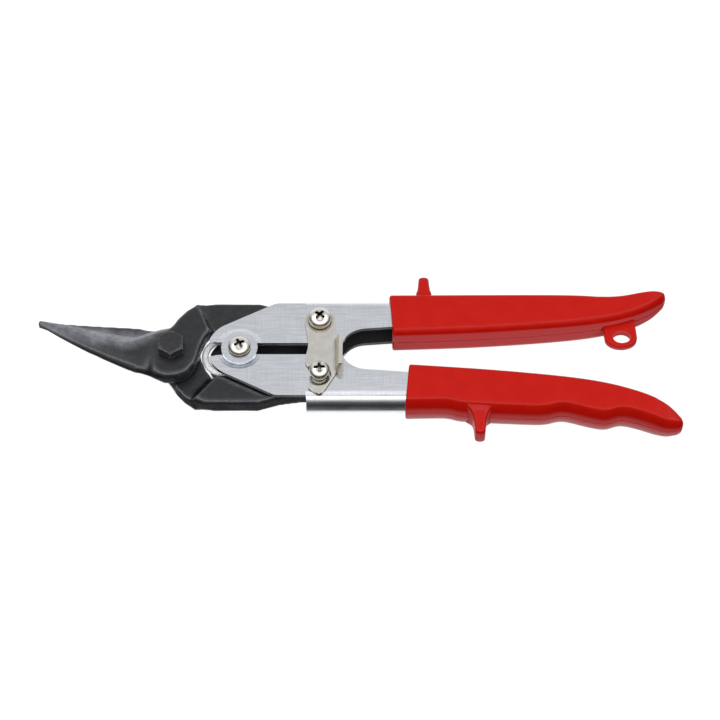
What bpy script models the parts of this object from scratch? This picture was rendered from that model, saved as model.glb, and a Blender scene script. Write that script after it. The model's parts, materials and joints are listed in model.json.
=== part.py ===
"""Aviation snips: compound-lever shears for sheet metal, as an assembly of pieces.

The tool lies flat. +X runs from the jaws to the grips, +Y towards the upper handle and +Z up.
Pieces are drawn about the handle pivot, at mid-height of the tool, and the whole assembly is
then set down with the middle of its box over the origin. Lengths are in metres.
"""
import math

import bmesh
import bpy
from mathutils import Matrix, Vector
from mathutils.geometry import interpolate_bezier

for leftover in list(bpy.data.objects):
    bpy.data.objects.remove(leftover, do_unlink=True)

# Linkage: the tang screws, seen from the handle pivot, and how far the handles part
TANG_X = 0.0321
TANG_Y = 0.0124
HANDLE_OPENING = math.radians(34)

# Fits
GAP = 0.0003
LOOP_CLEARANCE = 0.0006
NOSE_CLEARANCE = 0.0023
CATCH_CLEARANCE = 0.002
LEG_CLEARANCE = 0.0013
CUT_MARGIN = 0.01
FUSE_OVERLAP = 0.0004

# Handle stampings: a web along the outside, two flanges, and an eye round the pivot
CHANNEL_HEIGHT = 0.0125
SHEET = 0.0018
BEND_RADIUS = 0.005
WEB_Y = 0.0245
WEB_START_X = 0.0269
FLANGE_SETBACK = 0.0026
TRIM_SETBACK = 0.0073
SHOULDER_RADIUS = 0.006
NOSE_RADIUS = 0.0128
NOSE_ANGLE = math.radians(117.5)
STOP_GAP = math.radians(1.5)
SLOT_HALF = 0.0027
SLOT_END_X = 0.0412
REAR_START_X = 0.05
REAR_DEPTH = 0.01485
WAIST_REAR_PULL = (-0.0045, -0.0004)
WAIST_FRONT_PULL = (0.0008, 0.0035)
HANDLE_END_X = 0.143
END_DEPTH = 0.0073
EYE_RADIUS = 0.0073
EYE_STEP_RADIUS = 0.0096
INNER_EYE_RADIUS = 0.0069

# Screws, bushes and nuts
SCREW_RADIUS = 0.0025
SCREW_HEAD_RADIUS = 0.00455
SCREW_HEAD_HEIGHT = 0.0031
SCREW_RIM_HEIGHT = 0.0011
SCREW_DOME = [math.radians(a) for a in (0, 22, 42, 60, 76)]
CATCH_SCREW_RADIUS = 0.002
CATCH_HEAD_RADIUS = 0.0041
BUSH_WALL = 0.0017
NUT_FLATS = 0.008
NUT_HEIGHT = 0.0027
BOLT_RADIUS = 0.003
BOLT_FLATS = 0.0098
BOLT_HEAD_HEIGHT = 0.004
BOLT_NUT_FLATS = 0.01
BOLT_NUT_HEIGHT = 0.004
THREAD_END = 0.001
WASHER_RADIUS = 0.0045
WASHER_THICKNESS = 0.0008

# Blade heads and arms: points are measured from the head's middle, or from the tang's screw
HEAD_HEIGHT = 0.007
HEAD_RADIUS = 0.013
BOLT_OFFSET = 0.0008
HEAD_ARC = (math.radians(235), math.radians(308))
HEAD_FLAT = [(-0.0010, 0.0092), (-0.0048, 0.0050), (-0.0065, 0.0005), (-0.0072, -0.0055)]
THROAT = [(0.0106, -0.0066), (0.0119, -0.0025), (0.0126, 0.0012), (0.0146, 0.0062)]
THROAT += [(0.0163, 0.0086)]
THROAT_END_X = 0.0185
SHOULDER = [(0.0171, 0.0234), (0.0145, 0.0233), (0.0122, 0.0224), (0.0098, 0.0210)]
SHOULDER += [(0.0065, 0.0186), (0.0032, 0.0148)]
ARM_FRONT = [(-0.0065, 0.0070), (-0.0161, 0.0085), (-0.0241, 0.0110)]
TANG_HALF = 0.0035
TANG_INSET = 0.002
TANG_EYE_RADIUS = 0.0072
TANG_EYE_ARC = (math.radians(-150), math.radians(80))
ARM_EDGE_RADIUS = 0.0014
TOP_STEP = [(0.0124, 0.021), (0.0157, 0.0134)]
UNDER_STEP = [(0.0078, 0.0218), (0.0164, 0.0108)]
STEP_DRAFT = math.radians(28)

# Jaws: distance ahead of the head's middle, and height of the cutting edge over the jaw's own axis
JAW_TILT = math.radians(16.6)
JAW_LENGTH = 0.0559
JAW_TUCK = 0.003
JAW_STATIONS = 18
UPPER_EDGE = [(0.0036, 0.0134), (0.0062, 0.0122), (0.0118, 0.0081), (0.0185, 0.0045)]
LOWER_EDGE = [(0.0040, 0.0104), (0.0075, 0.0094), (0.0125, 0.0068), (0.0185, 0.0044)]
EDGE_RUN = [(0.0300, 0.0034), (0.0420, 0.0026), (JAW_LENGTH, 0.0012)]
EDGE_TUCK = 0.0014
UPPER_ROOT_BACK = 0.0127
LOWER_ROOT_BACK = 0.0136
TIP_BACK = 0.0011
UPPER_BACK_SWELL = 0.0017
LOWER_BACK_SWELL = -0.0003
EDGE_LAND = 0.0009
ROOT_HEIGHT = 0.0067
TIP_HEIGHT = 0.0021
BEVEL_WIDTH = 0.0062
BEVEL_MOST = 0.55
BEVEL_BULGE = 0.62
BACK_ROUND = [(0.25, 0.93), (0.07, 0.80), (0.0, 0.60)]

# Return spring
WIRE_RADIUS = 0.00135
WIRE_SIDES = 10
BOW_RADIUS = 0.0078
BOW_X = -0.0062
LEG_STRAIGHT = 0.006
BEND_SHARE = 0.33

# Latch: places are measured from its own screw, those of the hook from the catch screw
LATCH_SHEET = 0.0015
LATCH_EYE_RADIUS = 0.0061
LATCH_LEFT = -0.0058
LATCH_WAIST = -0.0046
LATCH_RIGHT = 0.0065
LATCH_SIDE_Y = [-0.002, -0.0114, -0.0186]
MOUTH_TOP = 0.003
HOOK_ROUND = (-0.0004, -0.0012)
HOOK_ARC = (math.radians(118), math.radians(-118))
HOOK_LIP = [(-0.0041, -0.00545), (-0.0045, -0.00665)]
HOOK_TIP = [(-0.0018, -0.009), (-0.0001, -0.0102), (0.0011, -0.0093)]
HOOK_SHOULDER = (0.0053, -0.0021)
TAB_TOP = 0.016
TAB_FOOT = 0.0002
TAB_HEIGHT = 0.0044
TAB_TRIM = 0.0012
TAB_LEAN = math.radians(24)
CATCH_COLLAR_RADIUS = 0.003
CATCH_COLLAR_HEIGHT = 0.0024

# Grips: places along them are measured from the handle's end, heights outwards from a line inside its web
GRIP_LINE_INSET = 0.0006
GRIP_EDGE_RADIUS = 0.0032
GRIP_BACK_RADIUS = 0.0076
GRIP_FULLNESS = 0.98
GRIP_STATIONS = 34
UPPER_INNER = [(-0.0816, -0.0170), (-0.048, -0.0156), (-0.015, -0.0130), (0.003, -0.0105)]
UPPER_INNER += [(0.015, -0.0072), (0.0228, -0.0034), (0.0278, 0.0006), (0.0294, 0.0034)]
UPPER_OUTER = [(-0.083, 0.0039), (-0.015, 0.0041), (0.003, 0.0035), (0.011, 0.0039)]
UPPER_OUTER += [(0.0185, 0.0053), (0.0240, 0.0058), (0.0280, 0.0054), (0.0294, 0.0038)]
UPPER_HALF = [(-0.083, 0.008), (-0.02, 0.008), (0.01, 0.0074), (0.022, 0.0066)]
UPPER_HALF += [(0.0278, 0.0050), (0.0294, 0.0028)]
LOWER_INNER = [(-0.0752, -0.0168), (-0.043, -0.0143), (-0.015, -0.0113), (0.002, -0.0084)]
LOWER_INNER += [(0.0155, -0.0043), (0.0245, 0.0000), (0.0296, 0.0040), (0.0329, 0.0079)]
LOWER_OUTER = [(-0.0769, 0.0036), (-0.061, 0.0034), (-0.0535, 0.0049), (-0.0286, 0.0063)]
LOWER_OUTER += [(-0.0212, 0.0062), (-0.0142, 0.0049), (-0.0038, 0.0076), (0.0024, 0.0086)]
LOWER_OUTER += [(0.0086, 0.0069), (0.0149, 0.0082), (0.0247, 0.0117), (0.0298, 0.0116)]
LOWER_OUTER += [(0.032, 0.0106), (0.0329, 0.0086)]
LOWER_HALF = [(-0.0769, 0.008), (0.01, 0.008), (0.024, 0.0073), (0.0305, 0.0056), (0.0329, 0.0028)]
NUB_HALF_HEIGHT = 0.0045
NUB_ROOT = 0.0096
NUB_WAIST = 0.0046
NUB_TOP = 0.0042
NUB_FLANK = 0.0072
UPPER_NUB = (-0.0689, 0.0127)
LOWER_NUB = (-0.0474, 0.0139)
HANG_TAB_X = 0.0104
HANG_TAB_WIDTH = 0.013
HANG_TAB_END = -0.0198
HANG_TAB_THICKNESS = 0.0034
HANG_TAB_LEAN = 0.0008
HANG_TAB_ROOT = 0.0022
HANG_HOLE = (0.0107, -0.0152)
HANG_HOLE_WIDTH = 0.0073
HANG_HOLE_DEPTH = 0.006

# Facets
ROUND_STEPS = 24
CURVE_STEPS = 4
BEND_STEPS = 6
BACK_STEPS = 6
EDGE_STEPS = 4
SMOOTH_ANGLE = math.radians(35)

# Levels and places worked out from the sizes above
HALF = CHANNEL_HEIGHT / 2
INNER_HALF = HALF - SHEET
EYE_OFFSET = (SHEET + GAP) / 2
EYE_TOP = HALF + EYE_OFFSET
BUSH_HALF = INNER_HALF - EYE_OFFSET - GAP
TANG_BUSH_HALF = INNER_HALF - GAP
SHEAR_Z = GAP / 2
NOTCH_ANGLE = math.pi - HANDLE_OPENING / 2 - STOP_GAP
SCREW_HOLE = SCREW_RADIUS + GAP
CATCH_SCREW_HOLE = CATCH_SCREW_RADIUS + GAP
BUSH_RADIUS = SCREW_HOLE + BUSH_WALL
LATCH_LOW = HALF + GAP
LATCH_HIGH = LATCH_LOW + LATCH_SHEET
TANG_INNER_Y = TANG_Y - TANG_INSET
REAR_START_Y = WEB_Y - REAR_DEPTH
HANDLE_END_Y = WEB_Y - END_DEPTH
GRIP_LINE_Y = WEB_Y - GRIP_LINE_INSET
PIVOT = (0.0, 0.0)
HEAD = (-(NOSE_RADIUS + NOSE_CLEARANCE + HEAD_RADIUS), 0.0)
BOLT = (HEAD[0] + BOLT_OFFSET, 0.0)
UPPER_TANG = (TANG_X, TANG_Y)
LOWER_TANG = (TANG_X, -TANG_Y)


def finish(name, colour, roughness, metallic):
    """One plain material for each finish of the real tool."""
    material = bpy.data.materials.new(name)
    material.use_nodes = True
    shader = material.node_tree.nodes["Principled BSDF"]
    shader.inputs["Base Color"].default_value = (*colour, 1.0)
    shader.inputs["Roughness"].default_value = roughness
    shader.inputs["Metallic"].default_value = metallic
    return material


BLACK_FORGED = finish("black_forged_steel", (0.035, 0.035, 0.038), 0.5, 0.6)
BLACK_HARDWARE = finish("black_hardware", (0.045, 0.045, 0.047), 0.4, 0.8)
PLATED_SHEET = finish("plated_sheet", (0.72, 0.72, 0.73), 0.28, 1.0)
NICKEL = finish("nickel_plate", (0.62, 0.58, 0.52), 0.3, 1.0)
SPRING_WIRE = finish("spring_wire", (0.70, 0.70, 0.70), 0.25, 1.0)
RED_SLEEVE = finish("red_sleeve", (0.55, 0.014, 0.010), 0.38, 0.0)


def mesh_object(name, bm, material=None):
    """Close a bmesh into a named object with its faces pointing out."""
    bmesh.ops.recalc_face_normals(bm, faces=bm.faces)
    mesh = bpy.data.meshes.new(name)
    bm.to_mesh(mesh)
    bm.free()
    piece = bpy.data.objects.new(name, mesh)
    bpy.context.collection.objects.link(piece)
    if material:
        mesh.materials.append(material)
    return piece


def loft(name, rings, material=None):
    """Skin rings of equal point count, with a cap on each end."""
    bm = bmesh.new()
    loops = [[bm.verts.new(point) for point in ring] for ring in rings]
    for first, second in zip(loops, loops[1:]):
        for i in range(len(first)):
            j = (i + 1) % len(first)
            bm.faces.new((first[i], first[j], second[j], second[i]))
    bm.faces.new(loops[0])
    bm.faces.new(loops[-1])
    return mesh_object(name, bm, material)


def prism(name, outline, low, high, material=None, rim=0.0, rim_steps=2):
    """An outline in plan, raised from low to high, with its two rims rounded if asked."""
    piece = loft(name, [[(x, y, z) for x, y in outline] for z in (low, high)], material)
    if rim:
        bm = bmesh.new()
        bm.from_mesh(piece.data)
        level = [e for e in bm.edges if abs(e.verts[0].co.z - e.verts[1].co.z) < GAP / 10]
        bmesh.ops.bevel(
            bm, geom=level, offset=rim, segments=rim_steps, affect="EDGES", profile=0.5
        )
        bm.to_mesh(piece.data)
        bm.free()
    return piece


def turned(name, centre, profile, material=None, steps=ROUND_STEPS):
    """Spin a closed (radius, height) profile round an upright axis."""
    bm = bmesh.new()
    columns = []
    for k in range(steps):
        angle = 2 * math.pi * k / steps
        columns.append([
            bm.verts.new((
                centre[0] + radius * math.cos(angle),
                centre[1] + radius * math.sin(angle),
                height,
            ))
            for radius, height in profile
        ])
    for k in range(steps):
        here, after = columns[k], columns[(k + 1) % steps]
        for i in range(len(profile)):
            j = (i + 1) % len(profile)
            if profile[i][0] or profile[j][0]:
                bm.faces.new((here[i], after[i], after[j], here[j]))
    bmesh.ops.remove_doubles(bm, verts=bm.verts, dist=GAP / 100)
    bmesh.ops.dissolve_degenerate(bm, edges=bm.edges, dist=GAP / 100)
    return mesh_object(name, bm, material)


def round_bar(name, centre, radius, low, high, material=None):
    return turned(name, centre, [(0, low), (radius, low), (radius, high), (0, high)], material)


def sleeve(name, centre, inner, outer, low, high, material=None):
    return turned(
        name, centre, [(inner, low), (outer, low), (outer, high), (inner, high)], material
    )


def boolean(piece, tool, operation):
    """Cut, fuse or intersect once and for all, and take the tool away."""
    step = piece.modifiers.new(operation.lower(), "BOOLEAN")
    step.operation = operation
    step.solver = "EXACT"
    step.object = tool
    bpy.context.view_layer.update()
    graph = bpy.context.evaluated_depsgraph_get()
    worked = bpy.data.meshes.new_from_object(piece.evaluated_get(graph))
    piece.modifiers.clear()
    piece.data = worked
    bpy.data.objects.remove(tool, do_unlink=True)
    return piece


def cut(piece, *tools):
    for tool in tools:
        boolean(piece, tool, "DIFFERENCE")
    return piece


def fuse(piece, *additions):
    for addition in additions:
        boolean(piece, addition, "UNION")
    return piece


def bore(piece, centre, radius):
    """A round hole right through a piece, along Z."""
    reach = 2 * CHANNEL_HEIGHT
    return cut(piece, round_bar("bore_tool", centre, radius, -reach, reach))


def arc(centre, radius, start, end, steps):
    return [
        (
            centre[0] + radius * math.cos(start + (end - start) * k / steps),
            centre[1] + radius * math.sin(start + (end - start) * k / steps),
        )
        for k in range(steps + 1)
    ]


def moved(points, centre):
    return [(centre[0] + x, centre[1] + y) for x, y in points]


def smooth_through(points, steps=CURVE_STEPS):
    """A smooth curve through hand-chosen points, by Bezier pieces."""
    spots = [Vector(p) for p in points]
    ahead = [spots[0]] + spots[:-1]
    after = spots[1:] + [spots[-1]]
    slopes = [(b - a) / 6 for a, b in zip(ahead, after)]
    curve = []
    for i in range(len(spots) - 1):
        piece = interpolate_bezier(
            spots[i], spots[i] + slopes[i], spots[i + 1] - slopes[i + 1], spots[i + 1], steps + 1
        )
        curve += [(p.x, p.y) for p in piece[:-1]]
    return curve + [tuple(spots[-1])]


def height_on(points, x):
    """The smooth curve's second value where its first value is x."""
    line = smooth_through(points, 3 * CURVE_STEPS)
    for (x0, y0), (x1, y1) in zip(line, line[1:]):
        if min(x0, x1) <= x <= max(x0, x1) and x0 != x1:
            return y0 + (y1 - y0) * (x - x0) / (x1 - x0)
    return line[0][1] if abs(x - line[0][0]) < abs(x - line[-1][0]) else line[-1][1]


def blend(first, last, share):
    return first + (last - first) * share


def round_outline(centre, width, depth, steps=ROUND_STEPS):
    return [
        (
            centre[0] + width / 2 * math.cos(2 * math.pi * k / steps),
            centre[1] + depth / 2 * math.sin(2 * math.pi * k / steps),
        )
        for k in range(steps)
    ]


def hexagon(centre, flats, turn=0.0):
    radius = flats / math.sqrt(3)
    return [
        (
            centre[0] + radius * math.cos(turn + math.pi * k / 3),
            centre[1] + radius * math.sin(turn + math.pi * k / 3),
        )
        for k in range(6)
    ]


def nose_end():
    """Where the round nose of a flange gives way to its straight front edge."""
    return Vector((NOSE_RADIUS * math.cos(NOSE_ANGLE), NOSE_RADIUS * math.sin(NOSE_ANGLE)))


def waist_line():
    """Edge of a flange behind the slot, from its rear run down to the slot."""
    rear = Vector((REAR_START_X, REAR_START_Y))
    front = Vector((SLOT_END_X, SLOT_HALF))
    curve = interpolate_bezier(
        rear, rear + Vector(WAIST_REAR_PULL), front + Vector(WAIST_FRONT_PULL), front, 9
    )
    return [(p.x, p.y) for p in curve]


def flange_outline():
    """Plan of the upper stamping: nose, shoulder, web line, rear end, waist and slot edge."""
    edge_y = WEB_Y - FLANGE_SETBACK
    nose = arc(PIVOT, NOSE_RADIUS, NOTCH_ANGLE, NOSE_ANGLE, 6)
    along = Vector((math.sin(NOSE_ANGLE), -math.cos(NOSE_ANGLE)))
    corner = nose_end() + along * (edge_y - nose_end().y) / along.y
    lead = SHOULDER_RADIUS * math.tan((NOSE_ANGLE - math.pi / 2) / 2)
    shoulder = arc(
        (corner.x + lead, edge_y - SHOULDER_RADIUS), SHOULDER_RADIUS, NOSE_ANGLE, math.pi / 2, 4
    )
    rear = [
        (WEB_START_X, edge_y),
        (WEB_START_X, WEB_Y),
        (HANDLE_END_X, WEB_Y),
        (HANDLE_END_X, HANDLE_END_Y),
    ]
    slot_front = (SLOT_HALF / math.tan(NOTCH_ANGLE), SLOT_HALF)
    return nose + shoulder + rear + waist_line() + [slot_front]


def back_corners(web, half, radius, side):
    """The two square corners along a channel's back that a round bend leaves off."""
    ends = (WEB_START_X - GAP, HANDLE_END_X + CUT_MARGIN)
    bend = arc((web - radius, half - radius), radius, math.pi / 2, 0.0, BEND_STEPS)
    far_y, far_z = web + CUT_MARGIN, half + CUT_MARGIN
    section = bend + [(far_y, half - radius), (far_y, far_z), (web - radius, far_z)]
    return [
        loft("corner_tool", [[(x, side * y, up * z) for y, z in section] for x in ends])
        for up in (1, -1)
    ]


def channel_void():
    """What the press leaves open between the two flanges, and in front of the web."""
    inner_web = WEB_Y - SHEET
    outline = [
        (-2 * NOSE_RADIUS, -CUT_MARGIN),
        (HANDLE_END_X + CUT_MARGIN, -CUT_MARGIN),
        (HANDLE_END_X + CUT_MARGIN, inner_web),
        (WEB_START_X, inner_web),
        (WEB_START_X, WEB_Y + CUT_MARGIN),
        (-2 * NOSE_RADIUS, WEB_Y + CUT_MARGIN),
    ]
    void = prism("void_tool", outline, -INNER_HALF, INNER_HALF)
    return cut(void, *back_corners(inner_web, INNER_HALF, BEND_RADIUS - SHEET, 1))


def corner_trim(side):
    """The far flange's front corner, cut off so that it stays behind the blade's arm."""
    start = nose_end()
    outline = [
        (start.x, start.y),
        (WEB_START_X, WEB_Y - TRIM_SETBACK),
        (WEB_START_X, WEB_Y + CUT_MARGIN),
        (start.x, WEB_Y + CUT_MARGIN),
    ]
    return prism("trim_tool", outline, *sorted((0.0, side * CHANNEL_HEIGHT)))


def pressed_eye(level, offset, radius):
    """The pivot eye of one flange: a disc pressed out of the flange plane, and its sloped step."""
    low = level - SHEET / 2 + offset
    high = level + SHEET / 2 + offset
    disc = sleeve("eye_disc", PIVOT, SCREW_HOLE, radius, low, high)
    tuck = GAP / 10
    section = [
        (radius - FUSE_OVERLAP, low + tuck),
        (radius, low + tuck),
        (EYE_STEP_RADIUS, low - offset + tuck),
        (EYE_STEP_RADIUS + FUSE_OVERLAP, low - offset + tuck),
        (EYE_STEP_RADIUS + FUSE_OVERLAP, high - offset - tuck),
        (EYE_STEP_RADIUS, high - offset - tuck),
        (radius, high - tuck),
        (radius - FUSE_OVERLAP, high - tuck),
    ]
    start = math.asin(SLOT_HALF / EYE_STEP_RADIUS)
    steps = ROUND_STEPS // 2
    rings = []
    for k in range(steps + 1):
        angle = blend(start, NOTCH_ANGLE, k / steps)
        rings.append([(r * math.cos(angle), r * math.sin(angle), z) for r, z in section])
    return disc, loft("eye_step", rings)


def build_stamping(name, trimmed):
    """A handle: a channel pressed from sheet, its two eyes set over by half a sheet."""
    stamping = prism(name, flange_outline(), -HALF, HALF, PLATED_SHEET)
    cut(stamping, *back_corners(WEB_Y, HALF, BEND_RADIUS, 1))
    cut(stamping, channel_void(), corner_trim(trimmed))
    bore(stamping, PIVOT, EYE_STEP_RADIUS)
    level = HALF - SHEET / 2
    fuse(stamping, *pressed_eye(level, EYE_OFFSET, EYE_RADIUS))
    fuse(stamping, *pressed_eye(-level, EYE_OFFSET, INNER_EYE_RADIUS))
    return bore(stamping, UPPER_TANG, SCREW_HOLE)


def blade_arm_outline():
    """Plan of the upper blade behind its jaw: head round the bolt, arm, and tang with its eye."""
    head = moved(HEAD_FLAT, HEAD) + arc(HEAD, HEAD_RADIUS, *HEAD_ARC, 8)
    throat = moved(THROAT, HEAD)
    back_of_tang = [
        (HEAD[0] + THROAT_END_X, TANG_INNER_Y),
        (TANG_X - TANG_EYE_RADIUS, TANG_INNER_Y),
    ]
    eye = arc(UPPER_TANG, TANG_EYE_RADIUS, *TANG_EYE_ARC, 12)
    return head + throat + back_of_tang + eye + moved(ARM_FRONT, UPPER_TANG) + moved(SHOULDER, HEAD)


def step_tool(line, low, high, side, lean):
    """A block behind a line in plan, its face leaning back by the forging draft."""
    start, end = Vector(line[0]), Vector(line[1])
    along = (end - start).normalized()
    away = Vector((along.y, -along.x)) * side
    reach = 3 * HEAD_RADIUS
    rings = []
    for z, shift in ((low, lean[0]), (high, lean[1])):
        first = start - along * reach + away * shift
        last = end + along * reach + away * shift
        far = away * 8 * HEAD_RADIUS
        rings.append([(p.x, p.y, z) for p in (first, last, last + far, first + far)])
    return loft("step_tool", rings)


def build_jaw(name, side, edge_line, root_back, swell):
    """Loft of one jaw along its own axis; side is 1 for the upper blade, -1 for the lower."""
    along = Vector((-math.cos(JAW_TILT), math.sin(JAW_TILT)))
    across = Vector((math.sin(JAW_TILT), math.cos(JAW_TILT))) * side
    root = edge_line[0]
    line = [(-JAW_TUCK, root[1] - EDGE_TUCK)] + edge_line + EDGE_RUN
    rings = []
    for k in range(JAW_STATIONS + 1):
        p = blend(-JAW_TUCK, JAW_LENGTH, k / JAW_STATIONS)
        share = max(0.0, p / JAW_LENGTH)
        edge = height_on(line, p)
        back = -blend(root_back, TIP_BACK, share) - swell * 4 * share * (1 - share)
        back -= min(0.0, p) * EDGE_TUCK / JAW_TUCK
        ridge = blend(ROOT_HEIGHT, TIP_HEIGHT, share)
        width = edge - back
        bevel = min(BEVEL_WIDTH, BEVEL_MOST * width)
        section = [
            (edge, SHEAR_Z),
            (edge, EDGE_LAND),
            (edge - bevel / 2, blend(EDGE_LAND, ridge, BEVEL_BULGE)),
            (edge - bevel, ridge),
        ]
        section += [(back + across_share * width, up * ridge) for across_share, up in BACK_ROUND]
        section += [(back, SHEAR_Z)]
        ring = []
        for q, z in section:
            spot = Vector(HEAD) + along * p + across * q
            ring.append((spot.x, spot.y, side * z))
        rings.append(ring)
    return loft(name, rings)


def build_blade(name, side, edge_line, root_back, swell):
    """One blade: forged arm with its two steps, jaw fused on, and the two holes."""
    blade = prism(
        name, blade_arm_outline(), -TANG_HALF, HEAD_HEIGHT, BLACK_FORGED, ARM_EDGE_RADIUS
    )
    slope = math.tan(STEP_DRAFT)
    over = HEAD_HEIGHT + CUT_MARGIN
    rise = (over - TANG_HALF) * slope
    cut(blade, step_tool(moved(TOP_STEP, HEAD), TANG_HALF, over, -1, (0, -rise)))
    under = -TANG_HALF - CUT_MARGIN
    fall = (SHEAR_Z - under) * slope
    cut(blade, step_tool(moved(UNDER_STEP, HEAD), under, SHEAR_Z, 1, (-fall, 0)))
    if side < 0:
        blade.data.transform(Matrix.Rotation(math.pi, 4, "X"))
    fuse(blade, build_jaw("jaw", side, edge_line, root_back, swell))
    bore(blade, (TANG_X, side * TANG_Y), BUSH_RADIUS + GAP)
    return bore(blade, BOLT, BOLT_RADIUS + (GAP if side > 0 else LOOP_CLEARANCE))


def pan_screw(name, centre, shank, head_radius, seat, end):
    """Pan-head screw: domed head above its seat, plain shank down to its end."""
    crown = SCREW_HEAD_HEIGHT - SCREW_RIM_HEIGHT
    dome = [
        (head_radius * math.cos(t), seat + SCREW_RIM_HEIGHT + crown * math.sin(t))
        for t in SCREW_DOME
    ]
    profile = [(0, end), (shank - THREAD_END / 2, end), (shank, end + THREAD_END / 2)]
    profile += [(shank, seat), (head_radius, seat)] + dome
    profile += [(0, seat + SCREW_HEAD_HEIGHT)]
    return turned(name, centre, profile, NICKEL)


def nut(name, centre, flats, height, top, thread, material):
    """Hex nut hanging below the face at top, its lower corners turned off."""
    piece = prism(name, hexagon(centre, flats), top - height, top, material)
    corner = flats / math.sqrt(3)
    chamfer = corner - flats / 2
    shape = [
        (0, top - height - GAP),
        (flats / 2, top - height - GAP),
        (corner + GAP, top - height + chamfer),
        (corner + GAP, top + GAP),
        (0, top + GAP),
    ]
    boolean(piece, turned("chamfer_tool", centre, shape), "INTERSECT")
    return bore(piece, centre, thread + GAP)


def build_bolt():
    """Hex bolt of the blades, a corner of its head towards the viewer, shank through both blades."""
    seat = HEAD_HEIGHT + GAP
    top = seat + BOLT_HEAD_HEIGHT
    outline = hexagon(BOLT, BOLT_FLATS, math.pi / 2)
    bolt = prism("blade_bolt", outline, seat, top, BLACK_HARDWARE)
    corner = BOLT_FLATS / math.sqrt(3)
    chamfer = corner - BOLT_FLATS / 2
    shape = [
        (0, seat - GAP),
        (corner + GAP, seat - GAP),
        (corner + GAP, top - chamfer),
        (BOLT_FLATS / 2, top + GAP),
        (0, top + GAP),
    ]
    boolean(bolt, turned("chamfer_tool", BOLT, shape), "INTERSECT")
    end = -HEAD_HEIGHT - GAP - BOLT_NUT_HEIGHT - THREAD_END
    return fuse(bolt, round_bar("bolt_shank", BOLT, BOLT_RADIUS, end, seat + FUSE_OVERLAP))


def spring_path():
    """Middle line of the spring: a leg along the upper tang, one bow, a leg along the lower."""
    leg_y = TANG_INNER_Y - GAP - WIRE_RADIUS
    end = TANG_X - TANG_EYE_RADIUS - LEG_CLEARANCE
    leg = [(end, leg_y), (end - LEG_STRAIGHT, leg_y), (BEND_SHARE * end, BOW_RADIUS)]
    upper = smooth_through(leg + [(BOW_X, BOW_RADIUS)], 5)
    bow = arc((BOW_X, 0), BOW_RADIUS, math.pi / 2, 3 * math.pi / 2, 16)
    lower = [(x, -y) for x, y in reversed(upper)]
    return [Vector(p) for p in upper[:-1] + bow + lower[1:]]


def least_gap(path):
    """Smallest clear distance between the spring's wire and itself, well apart along its length."""
    walked = [0.0]
    for a, b in zip(path, path[1:]):
        walked.append(walked[-1] + (b - a).length)
    far = 12 * WIRE_RADIUS
    return min(
        (a - b).length - 2 * WIRE_RADIUS
        for i, a in enumerate(path)
        for j, b in enumerate(path)
        if walked[j] - walked[i] > far
    )


def build_spring():
    """Wire spring that pushes the handles apart, swept round its path."""
    path = spring_path()
    rings = []
    for i, spot in enumerate(path):
        along = (path[min(i + 1, len(path) - 1)] - path[max(i - 1, 0)]).normalized()
        side = Vector((along.y, -along.x))
        ring = []
        for k in range(WIRE_SIDES):
            turn = 2 * math.pi * k / WIRE_SIDES
            offset = side * WIRE_RADIUS * math.cos(turn)
            ring.append((spot.x + offset.x, spot.y + offset.y, WIRE_RADIUS * math.sin(turn)))
        rings.append(ring)
    print(f"return_spring least gap to itself: {least_gap(path) * 1000:.2f} mm")
    return loft("return_spring", rings, SPRING_WIRE)


def latch_outline():
    """Plan of the latch: eye, waist, hook with its mouth on the left, and straight right edge."""
    eye = arc(UPPER_TANG, LATCH_EYE_RADIUS, 0, math.pi, 12)
    top_y, waist_y, belly_y = (TANG_Y + y for y in LATCH_SIDE_Y)
    left = smooth_through([
        (TANG_X + LATCH_LEFT, top_y),
        (TANG_X + LATCH_WAIST, waist_y),
        (TANG_X + LATCH_LEFT, belly_y),
        (TANG_X + LATCH_WAIST, MOUTH_TOP - TANG_Y),
    ])
    radius = CATCH_COLLAR_RADIUS + CATCH_CLEARANCE
    notch = arc(moved([HOOK_ROUND], LOWER_TANG)[0], radius, *HOOK_ARC, 16)
    tip = moved(HOOK_LIP + HOOK_TIP + [HOOK_SHOULDER], LOWER_TANG)
    right = moved([(LATCH_RIGHT, TAB_FOOT), (LATCH_RIGHT, TAB_TOP)], LOWER_TANG)
    return eye + left + notch + tip + right


def build_latch():
    """Hook plate with a finger tab bent up along its right edge."""
    latch = prism("latch", latch_outline(), LATCH_LOW, LATCH_HIGH, NICKEL)
    lean = TAB_HEIGHT * math.tan(TAB_LEAN)
    foot = TANG_X + LATCH_RIGHT - LATCH_SHEET / 2
    tuck = GAP / 10
    rings = []
    for y, trim in ((TAB_TOP - TANG_Y - GAP, 0.0), (TAB_FOOT - TANG_Y + GAP, TAB_TRIM)):
        rings.append([
            (foot, y, LATCH_LOW + tuck),
            (foot + LATCH_SHEET, y, LATCH_LOW + tuck),
            (foot + LATCH_SHEET + lean, y + trim, LATCH_HIGH + TAB_HEIGHT),
            (foot + lean, y + trim, LATCH_HIGH + TAB_HEIGHT),
        ])
    fuse(latch, loft("tab", rings))
    return bore(latch, UPPER_TANG, SCREW_HOLE)


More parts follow.
